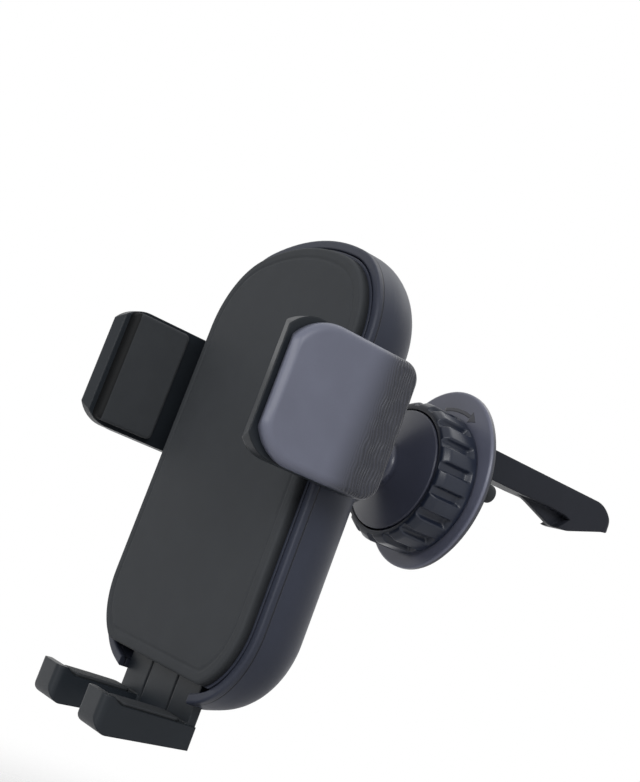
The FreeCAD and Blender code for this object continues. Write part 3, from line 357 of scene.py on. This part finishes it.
def studio_floor(name, colour, near, far):
    """Pale floor that fades out with distance, so that it has no edge or horizon."""
    paint = Paint(name)
    x, y, _ = paint.axes()
    away = (x * x + y * y).power(0.5).step(near, far)
    shader = paint.node("ShaderNodeBsdfPrincipled", None,
                        {"Base Color": opaque(colour), "Roughness": 0.7})
    clear = paint.node("ShaderNodeBsdfTransparent")
    mixed = paint.node("ShaderNodeMixShader", None, {0: away, 1: shader, 2: clear})
    paint.tree.links.new(mixed.socket, paint.output.inputs["Surface"])
    return paint.material


# Surfaces

def outward(points, faces):
    """Turns all faces round where the closed surface's signed volume is negative. Every face is
    taken as a fan of triangles, each the base of a tetrahedron to the origin."""
    first, second, third, fourth = (points[faces[:, corner]] for corner in range(4))
    volume = np.einsum("ij,ij->", first, np.cross(second, third))
    volume += np.einsum("ij,ij->", first, np.cross(third, fourth))
    return faces if volume > 0 else faces[:, ::-1]


def grid_faces(rows, columns, ring):
    """Quads between neighbouring rows of a grid whose rows are closed loops. With ring, the last row
    joins the first one too."""
    row = np.arange(rows if ring else rows - 1)[:, None]
    column = np.arange(columns)[None, :]
    next_row, next_column = (row + 1) % rows, (column + 1) % columns
    corners = [row * columns + column, row * columns + next_column,
               next_row * columns + next_column, next_row * columns + column]
    return np.stack(np.broadcast_arrays(*corners), -1).reshape(-1, 4)


def loops_piece(name, parts, material, body, node):
    """One piece from closed surfaces, in place of a node. Each part is (loops, ring): loops is an
    array of rows of points in millimetres. Where ring is false, a first or last row of one repeated
    point closes a pole."""
    points, faces = [], []
    start = 0
    for loops, ring in parts:
        rows, columns, _ = loops.shape
        flat = loops.reshape(-1, 3)
        faces.append(outward(flat, grid_faces(rows, columns, ring)) + start)
        points.append(flat)
        start += len(flat)
    mesh = bpy.data.meshes.new(name)
    mesh.from_pydata((np.concatenate(points) * MM).tolist(), [], np.concatenate(faces).tolist())
    merged = bmesh.new()
    merged.from_mesh(mesh)
    bmesh.ops.remove_doubles(merged, verts=merged.verts, dist=1e-7)
    bmesh.ops.dissolve_degenerate(merged, edges=merged.edges, dist=1e-7)
    merged.to_mesh(mesh)
    merged.free()
    mesh.polygons.foreach_set("use_smooth", np.ones(len(mesh.polygons), bool))
    mesh.materials.append(material)
    piece = bpy.data.objects.new(name, mesh)
    bpy.context.scene.collection.objects.link(piece)
    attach(piece, body)
    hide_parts(node)


def even(loop, count, smooth=0.0):
    """A closed outline resampled at even steps of its length. A moving average of the given width
    rounds its corners."""
    closed = np.vstack([loop, loop[:1]])
    length = np.r_[0, np.cumsum(np.hypot(*np.diff(closed, axis=0).T))]
    steps = np.linspace(0, length[-1], count, endpoint=False)
    points = np.stack([np.interp(steps, length, closed[:, k]) for k in range(2)], -1)
    width = int(round(smooth / length[-1] * count / 2))
    if width:
        points = sum(np.roll(points, k, 0) for k in range(-width, width + 1)) / (2 * width + 1)
    return points


def arc(centre, radius, first, last, count=32):
    """Points of an arc, angles in degrees."""
    turn = np.radians(np.linspace(first, last, count))
    return np.array(centre) + radius * np.stack([np.cos(turn), np.sin(turn)], -1)


def round_box(low, high, radii, count, inset):
    """A rectangle drawn inwards by the inset, with four round corners, from the low-low one
    counter-clockwise. Each corner's radius shrinks with the inset, to 0.25 mm at least."""
    low, high = np.array(low) + inset, np.array(high) - inset
    corners = [(low[0], low[1], 1, 1), (high[0], low[1], -1, 1), (high[0], high[1], -1, -1),
               (low[0], high[1], 1, -1)]
    arcs = []
    for quarter, ((x, y, right, up), radius) in enumerate(zip(corners, radii)):
        eased = max(radius - inset, 0.25)
        first = 180 + 90 * quarter
        arcs.append(arc((x + right * eased, y + up * eased), eased, first, first + 90))
    return even(np.vstack(arcs), count)


def slab(outline, base, face, radius, reach, crown, dip=None):
    """A slab from its base level to its face level. Outline gives the closed loop at an inset. The
    edge is a quarter round: the inset is r(1 - cos a), the drop r(1 - sin a). The face's rows follow
    the outline to an inset of reach and then shrink to the middle. The face sinks by crown times
    the mean square of its place across the outline, and by dip of the inset. The points come as
    (across, along, level)."""
    way = np.sign(face - base)
    whole = outline(0.0)
    middle = whole.mean(0)
    half = np.abs(whole - middle).max(0)
    shares = np.linspace(0, 1, 14)
    loops = [np.column_stack([middle + (whole - middle) * share, np.full(len(whole), base)])
             for share in shares]
    turn = np.linspace(0, np.pi / 2, 7)
    insets = np.r_[radius * (1 - np.cos(turn)), np.arange(radius, reach, 0.18)[1:], reach]
    drops = np.r_[radius * (1 - np.sin(turn)), np.zeros(len(insets) - len(turn))]
    rows = [(outline(inset), drop + (dip(inset) if dip else 0.0)) for inset, drop in zip(insets, drops)]
    last = rows[-1][0]
    rows += [(middle + (last - middle) * share, 0.0) for share in shares[::-1][1:]]
    for points, drop in rows:
        sunk = crown * (((points - middle) / half) ** 2).sum(1) / 2
        loops.append(np.column_stack([points, face - way * (drop + sunk)]))
    return np.array(loops)


def lathe(profile, angles, ease=None):
    """A closed profile of (radius, y) turned about the Y axis. Ease takes the radius, the y and the
    angle of every point and gives its radius."""
    radius, level = (np.broadcast_to(profile[:, k, None], (len(profile), len(angles))) for k in range(2))
    turn = np.broadcast_to(angles, radius.shape)
    if ease:
        radius = ease(radius, level, turn)
    return np.stack([radius * np.cos(turn), level, radius * np.sin(turn)], -1)


def dense(profile, step):
    """A closed profile with points no further apart than a step."""
    closed = np.vstack([profile, profile[:1]])
    runs = []
    for first, last in zip(closed[:-1], closed[1:]):
        count = max(int(np.ceil(np.hypot(*(last - first)) / step)), 1)
        runs.append(first + (last - first) * np.linspace(0, 1, count, endpoint=False)[:, None])
    return np.vstack(runs)


def soft_min(first, second, ease):
    """The smaller of two values, with the corner between them rounded."""
    return (first + second - np.sqrt((first - second) ** 2 + ease ** 2)) / 2


def smooth_step(value, low, high):
    """0 below low, 1 above high, and a smooth rise between."""
    place = np.clip((value - low) / (high - low), 0, 1)
    return place * place * (3 - 2 * place)


# Properties

def colour_property(name, description, default):
    return bpy.props.FloatVectorProperty(
        name=name, description=description, default=default, subtype="COLOR", size=3, min=0, max=1)


def length_property(name, description, default):
    return bpy.props.FloatProperty(
        name=name, description=description, default=default, subtype="DISTANCE", unit="LENGTH")


def power_property(name, description, default):
    return bpy.props.FloatProperty(name=name, description=description, default=default, unit="POWER")


class HolderFinish(bpy.types.PropertyGroup):
    """Colours of the finishes."""

    housing: colour_property("Housing", "Shell and front cover", (0.028, 0.032, 0.048))
    cover: colour_property("Arm covers", "Outer covers of the arms", (0.13, 0.138, 0.183))
    knob: colour_property("Knob", "Clamp knob and ring nut", (0.015, 0.02, 0.036))
    core: colour_property("Core", "Arm cores, foot and button", (0.011, 0.014, 0.018))
    stem: colour_property("Collar", "Ball, neck and collar", (0.055, 0.06, 0.088))
    flange: colour_property("Flange", "Oval flange", (0.13, 0.138, 0.19))
    hook: colour_property("Hook", "Hook bar and its carriage", (0.018, 0.02, 0.027))
    pads: colour_property("Pads", "Soft pads", (0.036, 0.039, 0.043))
    works: colour_property("Works", "Gear, latch and liners", (0.3, 0.3, 0.31))
    steel: colour_property("Steel", "Screws, pin and spring", (0.62, 0.62, 0.63))


class HolderSizes(bpy.types.PropertyGroup):
    """Sizes of the pieces that are shaped here, within the frame's own boxes."""

    cover_crown: length_property("Cover crown", "How far an arm's cover sinks towards its edges", 0.0005)
    cover_band: length_property("Cover band", "Depth of the slanted band at the front of a cover", 0.0023)
    cover_edge: length_property("Cover edge", "Rounding of a cover's outer edge", 0.0017)
    pad_edge: length_property("Pad edge", "Rounding of the soft pads", 0.0007)
    pad_channel: length_property("Pad channel", "Depth of the channel round the front pad", 0.00018)
    knob_groove: length_property("Knob grooves", "Depth of the grooves between the knob's ribs", 0.0015)
    knob_ribs: bpy.props.IntProperty(name="Knob ribs", description="Ribs round the knob", default=18)
    nut_ribs: bpy.props.IntProperty(name="Nut ribs", description="Ribs round the ring nut", default=16)


class HolderStage(bpy.types.PropertyGroup):
    """Camera, floor and light."""

    camera_spot: bpy.props.FloatVectorProperty(
        name="Camera", description="Where the camera stands", subtype="TRANSLATION",
        default=(0.2605, -0.2032, -0.0384))
    focal: bpy.props.FloatProperty(
        name="Focal length", description="Focal length over the height of a 36 mm frame", default=60.56)
    floor: length_property("Floor", "Height of the floor", -0.17)
    floor_colour: colour_property("Floor colour", "Colour of the floor", (0.9, 0.9, 0.91))
    key_power: power_property("Key", "Power of the key light on the right", 5.5)
    front_power: power_property("Front", "Power of the light in front", 6.0)
    back_power: power_property("Back", "Power of the light behind and above", 3.0)
    world_level: bpy.props.FloatProperty(
        name="Surroundings", description="Light from all sides", default=0.25)


# Pieces

def dress(names, material):
    """Gives CAD nodes a finish."""
    for name in names:
        slots = NODES[name].data.materials
        slots.clear()
        slots.append(material)


class HOLDER_OT_finishes(bpy.types.Operator):
    """Gives every carried-over piece its own moulded or metal finish"""

    bl_idname = "holder.finishes"
    bl_label = "Finishes"

    def execute(self, context):
        colours = context.scene.holder_finish
        shell = moulded_plastic("shell", colours.housing, roughness=0.4, edge=0.5, relief=parting_seam_shade)
        cover = moulded_plastic("cover", colours.housing)
        core = moulded_plastic("core", colours.core, roughness=0.36, edge=0.6)
        polished = {"roughness": 0.28, "gloss": 0.5, "grain": 0.12, "depth": 0.005}
        stem = moulded_plastic("stem", colours.stem, edge=0.5, **polished)
        flange = moulded_plastic("flange", colours.flange, relief=arrow_and_rim_shade, **polished)
        hook = moulded_plastic("hook", colours.hook, roughness=0.38, gloss=0.12, edge=0.8)
        works = moulded_plastic("works", colours.works, roughness=0.35, gloss=0.3, grain=0.2, depth=0.004,
                                edge=0.15)
        steel = bright_steel("steel", colours.steel)
        dress(["rear_shell"], shell)
        dress(["front_cover"], cover)
        dress(["right_arm", "left_arm", "foot_slide", "release_button"], core)
        dress(["ball_stem"], stem)
        dress(["vent_flange"], flange)
        dress(["hook_bar", "hook_carriage"], hook)
        dress(["gear_plate", "pinion_gear", "latch", "ball_cup_liner", "ball_ring_liner"], works)
        dress(["cover_screws", "plate_screws", "hook_screw", "pinion_pin", "latch_spring"], steel)
        return {"FINISHED"}


def inner_and_outer(low, high):
    """How far the near and the far side of a box beside the middle plane lie from it."""
    return sorted((abs(low[0]), abs(high[0])))


def cover_loops(side, low, high, sizes):
    """An arm's outer cover: a slab on a rectangle with large front and small back corners. Its face
    is crowned, its edge is round, and a slanted plane takes off its front edge: the level is the
    softened smaller one of the face and that plane. The front wall leans as the arm's core does."""
    base, face = inner_and_outer(low, high)
    front, tall = low[1] + COVER_ROOM, high[2]
    loops = slab(lambda inset: round_box((front, -tall), (high[1], tall), COVER_CORNERS, 224, inset),
                 base, face, radius=sizes.cover_edge / MM, reach=5.5, crown=sizes.cover_crown / MM)
    y, z, level = np.moveaxis(loops, -1, 0)
    slanted = face - sizes.cover_band / MM + (y - front - 0.25) * BAND_SLOPE
    banded = soft_min(level, np.maximum(slanted, base + 0.3), 0.25)
    level = np.where(level > base + 0.2, banded, level)
    y = np.maximum(y, front + 0.2 + (face - level) * WALL_LEAN)
    return np.stack([side * level, y, z], -1)


class HOLDER_OT_arm_covers(bpy.types.Operator):
    """Shapes the crowned outer covers of both arms, with a slanted front band, grip lines and painted shade
    towards their rear
    """

    bl_idname = "holder.arm_covers"
    bl_label = "Arm covers"

    def execute(self, context):
        finish = moulded_plastic("arm_cover", context.scene.holder_finish.cover, roughness=0.37, gloss=0.3,
                                 grain=0.14, depth=0.01, edge=0.3, relief=grip_lines_and_shade)
        for name, side in (("right", 1), ("left", -1)):
            node = f"{name}_arm_cover"
            loops = cover_loops(side, *BOX[node], context.scene.holder_sizes)
            loops_piece(f"{node}_shaped", [(loops, False)], finish, f"{name}_arm", node)
        return {"FINISHED"}


def arm_pad_loops(side, low, high, edge):
    """The soft pad inside an arm: a slab on a rectangle with round corners, whose front wall slants
    outwards to its base."""
    face, base = inner_and_outer(low, high)
    front = low[1] + ARM_PAD_SLANT
    corners = (ARM_PAD_CORNER,) * 4
    loops = slab(lambda inset: round_box((front, low[2]), (high[1], high[2]), corners, 200, inset),
                 base, face, radius=edge, reach=1.3, crown=0.12)
    y, z, level = np.moveaxis(loops, -1, 0)
    share = (high[1] - y) / (high[1] - low[1])
    y = y - ARM_PAD_SLANT * (level - face) / (base - face) * share
    return np.stack([side * level, y, z], -1)


def cradle_outline(inset, floor):
    """The cradle's outline in x and z, drawn inwards by the inset and cut straight at the floor: a
    shallow crown, round shoulders, straight sides and round lower corners, all tangent arcs."""
    half = CRADLE_HALF - inset
    crown, shoulder = CROWN_RADIUS - inset, SHOULDER_RADIUS - inset
    corner, base = CORNER_RADIUS - inset, BASE_RADIUS - inset
    top_centre, low_centre = CRADLE_TOP - CROWN_RADIUS, BASE_RADIUS - CRADLE_LOW
    lean = np.degrees(np.arcsin((half - shoulder) / (crown - shoulder)))
    lean_low = np.degrees(np.arcsin((half - corner) / (base - corner)))
    up = top_centre + (crown - shoulder) * np.cos(np.radians(lean))
    down = low_centre - (base - corner) * np.cos(np.radians(lean_low))
    side_x, low_x = half - shoulder, half - corner
    loop = np.vstack([
        arc((side_x, up), shoulder, 0, 90 - lean), arc((0, top_centre), crown, 90 - lean, 90 + lean),
        arc((-side_x, up), shoulder, 90 + lean, 180), arc((-low_x, down), corner, 180, 270 - lean_low),
        arc((0, low_centre), base, 270 - lean_low, 270 + lean_low),
        arc((low_x, down), corner, 270 + lean_low, 360),
    ])
    return np.column_stack([loop[:, 0], np.maximum(loop[:, 1], floor)])


def oval_outline(wide, tall, up):
    """An oval of four tangent arcs in x and z: end arcs above and below, side arcs left and right."""
    end = wide - (tall - wide) * 0.6
    lift = tall - end
    side = (wide * wide + lift * lift - end * end) / (2 * (wide - end))
    turn = np.degrees(np.arctan2(lift, side - wide))
    return np.vstack([
        arc((wide - side, up), side, -turn, turn),
        arc((0, up + lift), end, turn, 180 - turn),
        arc((side - wide, up), side, 180 - turn, 180 + turn),
        arc((0, up - lift), end, 180 + turn, 360 - turn),
    ])


def peg_loops(x, z, low, high):
    """A round peg along Y with a domed end: the dome is a quarter circle of half the peg's radius."""
    turn = np.linspace(0, np.pi / 2, 8)
    ease = PEG_RADIUS / 2
    dome = np.column_stack([PEG_RADIUS - ease + ease * np.cos(turn), high - ease + ease * np.sin(turn)])
    profile = np.vstack([[(0, low), (PEG_RADIUS, low)], dome, [(0, high)]])
    return lathe(profile, np.linspace(0, 2 * np.pi, 40, endpoint=False)) + np.array([x, 0, z])


class HOLDER_OT_pads(bpy.types.Operator):
    """Shapes the soft pads of cradle, arms, foot and vent flange"""

    bl_idname = "holder.pads"
    bl_label = "Soft pads"

    def execute(self, context):
        colour = context.scene.holder_finish.pads
        finish = soft_rubber("pads", colour)
        # The arm pads get painted shade on their slanted front walls.
        lip_shade_rubber = soft_rubber("arm_pads", colour, painted_shade=painted_lip_shade)
        sizes = context.scene.holder_sizes
        edge = sizes.pad_edge / MM
        for name, side in (("right", 1), ("left", -1)):
            node = f"{name}_arm_pad"
            loops = arm_pad_loops(side, *BOX[node], edge)
            loops_piece(f"{node}_shaped", [(loops, False)], lip_shade_rubber, f"{name}_arm", node)
        self.front(finish, edge, sizes.pad_channel / MM)
        self.foot(finish)
        self.vent(finish)
        return {"FINISHED"}

    def front(self, finish, edge, channel):
        """A slab on the cradle's outline. A shallow channel runs round it: a cosine dip of the level
        at an even distance from the edge."""
        low, high = BOX["front_pad"]
        start = CRADLE_HALF - high[0]
        middle, half = 2.6, 0.7
        loops = slab(lambda inset: even(cradle_outline(start + inset, low[2] + inset), 480, 1.6),
                     high[1], low[1], radius=edge, reach=4.2, crown=0.0,
                     dip=lambda inset: channel * (1 + np.cos(np.clip((inset - middle) / half, -1, 1)
                                                             * np.pi)) / 2)
        loops = loops[:, :, [0, 2, 1]]
        loops_piece("front_pad_shaped", [(loops, False)], finish, "cradle", "front_pad")

    def foot(self, finish):
        """Two slabs on round rectangles, one on each hook."""
        low, high = BOX["foot_pads"]
        parts = []
        for near, far in ((low[0], -FOOT_PAD_INNER), (FOOT_PAD_INNER, high[0])):
            loops = slab(
                lambda inset: round_box((near, low[1]), (far, high[1]), (FOOT_PAD_CORNER,) * 4, 160, inset),
                low[2], high[2], radius=0.3, reach=1.0, crown=0.1)
            parts.append((loops, False))
        loops_piece("foot_pads_shaped", parts, finish, "foot", "foot_pads")

    def vent(self, finish):
        """An oval washer round a square hole: its rows run from the hole's loop to the oval, shallow
        ripples circle its back, and two domed pegs stand on it."""
        low, high = BOX["vent_pad"]
        up = (high[2] + low[2]) / 2
        outer = even(oval_outline(high[0], (high[2] - low[2]) / 2, up), 240)
        turn = np.arctan2(outer[:, 1], outer[:, 0])
        square = VENT_HOLE / np.maximum(np.abs(np.cos(turn)), np.abs(np.sin(turn)))
        inner = np.column_stack([square * np.cos(turn), square * np.sin(turn)])

        def row(share, level):
            return np.insert(inner + (outer - inner) * share, 1, level, axis=1)

        across = np.linspace(0.02, 0.97, 60)
        ripples = -RIPPLE_DEPTH * (1 - np.cos(across * RIPPLE_TURNS)) / 2
        shares = np.r_[0.0, 0.004, across, 0.99, 1.0]
        levels = np.r_[-0.15, 0.0, ripples, -0.1, -0.3]
        rows = [row(share, level) for share, level in zip(shares, levels)]
        rows += [row(share, low[1]) for share in (1.0, 0.5, 0.0)]
        parts = [(np.array(rows), True)]
        for x in (-PEG_PLACE, PEG_PLACE):
            parts.append((peg_loops(x, up, low[1] / 2, high[1]), False))
        loops_piece("vent_pad_shaped", parts, finish, "clip", "vent_pad")


def ribbed(profile, count, depth, wide, front, back):
    """A turned ring with grooves along it, the first one at the top. Around the ring a groove is flat
    with eased flanks, along it the groove runs from the front to the back level, and its floor is a
    plain cylinder below the largest radius: the radius is the softened smaller one of profile and
    floor. Between the grooves that cylinder lies a spare height above the ring."""
    largest = profile[:, 0].max()
    pitch = 2 * np.pi / count
    flank, spare = 0.35, 0.3

    def ease(radius, level, turn):
        away = np.abs((turn - np.pi / 2 + pitch / 2) % pitch - pitch / 2) * largest
        inside = 1 - smooth_step(away, wide / 2 - flank, wide / 2 + flank)
        inside = inside * smooth_step(level, front, front + 0.4) * (1 - smooth_step(level, back - 0.8, back))
        floor = largest + spare - (depth + spare) * inside
        outer = radius > largest - depth - 0.9
        return np.where(outer & (inside > 0), soft_min(radius, floor, 0.1), radius)

    angles = np.linspace(0, 2 * np.pi, count * 26, endpoint=False)
    return lathe(dense(profile, 0.45), angles, ease)


class HOLDER_OT_turned_pieces(bpy.types.Operator):
    """Shapes the ribbed knob and the ribbed ring nut"""

    bl_idname = "holder.turned_pieces"
    bl_label = "Knob and ring nut"

    def execute(self, context):
        sizes = context.scene.holder_sizes
        finish = moulded_plastic("knob", context.scene.holder_finish.knob, roughness=0.28, gloss=0.35,
                                 grain=0.12, depth=0.006, edge=0.2)
        low, high = BOX["clamp_knob"]
        out, front, back = high[0], low[1], high[1]
        profile = np.array([
            (KNOB_BORE, KNOB_FLOOR), (KNOB_RECESS, KNOB_FLOOR), (KNOB_RECESS, front + 0.25),
            (KNOB_RECESS + 0.25, front), (out - 1.5, front), (out - 1.0, front + 0.2),
            (out - 0.2, front + 1.5), (out, front + 2.1), (out, back - 0.8), (out - 0.15, back - 0.35),
            (out - 0.6, back), (KNOB_BORE, back),
        ])
        loops = ribbed(profile, sizes.knob_ribs, depth=sizes.knob_groove / MM, wide=2.5,
                       front=front - 1.0, back=back - 1.5)
        loops_piece("clamp_knob_shaped", [(loops, True)], finish, "knob", "clamp_knob")
        low, high = BOX["socket_nut"]
        out, front, back = high[0], low[1], high[1]
        profile = np.array([
            (out - 2.9, front + 0.3), (out - 2.6, front), (out - 0.6, front), (out - 0.15, front + 0.2),
            (out, front + 0.6), (out, back - 0.6), (out - 0.15, back - 0.2), (out - 0.6, back),
            (out - 2.6, back), (out - 2.9, back - 0.3),
        ])
        loops = ribbed(profile, sizes.nut_ribs, depth=0.7, wide=1.6, front=front + 0.5, back=back + 1.0)
        loops_piece("socket_nut_shaped", [(loops, True)], finish, "nut", "socket_nut")
        return {"FINISHED"}


# Stage

def soft_box(name, spot, size, power):
    """A square area light that faces the holder."""
    light = bpy.data.lights.new(name, "AREA")
    light.shape = "SQUARE"
    light.size = size
    light.energy = power
    lamp = bpy.data.objects.new(name, light)
    lamp.location = spot
    lamp.visible_camera = False
    bpy.context.scene.collection.objects.link(lamp)
    away = np.array(spot) - np.array(LAMP_TARGET)
    away /= np.linalg.norm(away)
    side = np.cross((0.0, 0.0, 1.0), away)
    side /= np.linalg.norm(side)
    up = np.cross(away, side)
    lamp.rotation_euler = Matrix([side, up, away]).transposed().to_euler()


def plain_world(level):
    """Soft light from all sides; the eye, gloss and glass see plain white behind the object."""
    world = bpy.data.worlds.new("studio")
    world.use_nodes = True
    tree = world.node_tree
    tree.nodes.clear()
    path = tree.nodes.new("ShaderNodeLightPath")
    seen = path.outputs["Is Camera Ray"]
    for name in ("Is Glossy Ray", "Is Transmission Ray"):
        most = tree.nodes.new("ShaderNodeMath")
        most.operation = "MAXIMUM"
        tree.links.new(seen, most.inputs[0])
        tree.links.new(path.outputs[name], most.inputs[1])
        seen = most.outputs[0]
    lit = tree.nodes.new("ShaderNodeBackground")
    lit.inputs["Strength"].default_value = level
    white = tree.nodes.new("ShaderNodeBackground")
    for background in (lit, white):
        background.inputs["Color"].default_value = (1, 1, 1, 1)
    mixed = tree.nodes.new("ShaderNodeMixShader")
    tree.links.new(seen, mixed.inputs[0])
    tree.links.new(lit.outputs[0], mixed.inputs[1])
    tree.links.new(white.outputs[0], mixed.inputs[2])
    output = tree.nodes.new("ShaderNodeOutputWorld")
    tree.links.new(mixed.outputs[0], output.inputs["Surface"])
    return world


class HOLDER_OT_stage(bpy.types.Operator):
    """Sets the camera, a plain pale floor and soft studio light"""

    bl_idname = "holder.stage"
    bl_label = "Stage"

    def execute(self, context):
        stage = context.scene.holder_stage
        scene = context.scene
        lens = bpy.data.cameras.new("camera")
        lens.sensor_fit = "VERTICAL"
        lens.sensor_height = 36.0
        lens.lens = stage.focal
        lens.clip_start = 0.01
        camera = bpy.data.objects.new("camera", lens)
        scene.collection.objects.link(camera)
        axes = [CAMERA_RIGHT, [-v for v in CAMERA_DOWN], [-v for v in CAMERA_AHEAD]]
        turn = Matrix(axes).transposed().to_4x4()
        camera.matrix_world = Matrix.Translation(stage.camera_spot) @ turn
        scene.camera = camera
        scene.world = plain_world(stage.world_level)
        scene.view_settings.view_transform = "Standard"
        powers = (stage.key_power, stage.front_power, stage.back_power)
        for lamp, power in zip(LAMPS, powers):
            soft_box(*lamp, power)
        self.floor(scene, stage)
        return {"FINISHED"}

    def floor(self, scene, stage):
        """One large square under the holder."""
        mesh = bpy.data.meshes.new("floor")
        corners = [(-1, -1), (1, -1), (1, 1), (-1, 1)]
        mesh.from_pydata([(x * FLOOR_REACH, y * FLOOR_REACH, stage.floor) for x, y in corners], [],
                         [(0, 1, 2, 3)])
        floor = bpy.data.objects.new("floor", mesh)
        scene.collection.objects.link(floor)
        floor.data.materials.append(studio_floor("floor", stage.floor_colour, *FLOOR_FADE))


class HOLDER_PT_sidebar(bpy.types.Panel):
    """Lists the operators in the 3D view's sidebar"""

    bl_idname = "HOLDER_PT_sidebar"
    bl_label = "Vent phone holder"
    bl_space_type = "VIEW_3D"
    bl_region_type = "UI"
    bl_category = "Holder"

    def draw(self, context):
        for operator in OPERATORS:
            self.layout.operator(operator.bl_idname)


GROUPS = (HolderFinish, HolderSizes, HolderStage)
OPERATORS = (HOLDER_OT_finishes, HOLDER_OT_arm_covers, HOLDER_OT_pads, HOLDER_OT_turned_pieces,
             HOLDER_OT_stage)


def register():
    for thing in GROUPS + OPERATORS + (HOLDER_PT_sidebar,):
        bpy.utils.register_class(thing)
    bpy.types.Scene.holder_finish = bpy.props.PointerProperty(type=HolderFinish)
    bpy.types.Scene.holder_sizes = bpy.props.PointerProperty(type=HolderSizes)
    bpy.types.Scene.holder_stage = bpy.props.PointerProperty(type=HolderStage)


def unregister():
    del bpy.types.Scene.holder_stage
    del bpy.types.Scene.holder_sizes
    del bpy.types.Scene.holder_finish
    for thing in reversed(GROUPS + OPERATORS + (HOLDER_PT_sidebar,)):
        bpy.utils.unregister_class(thing)


def main():
    register()
    bpy.ops.holder.finishes()
    bpy.ops.holder.arm_covers()
    bpy.ops.holder.pads()
    bpy.ops.holder.turned_pieces()
    bpy.ops.holder.stage()


if __name__ == "__main__":
    main()
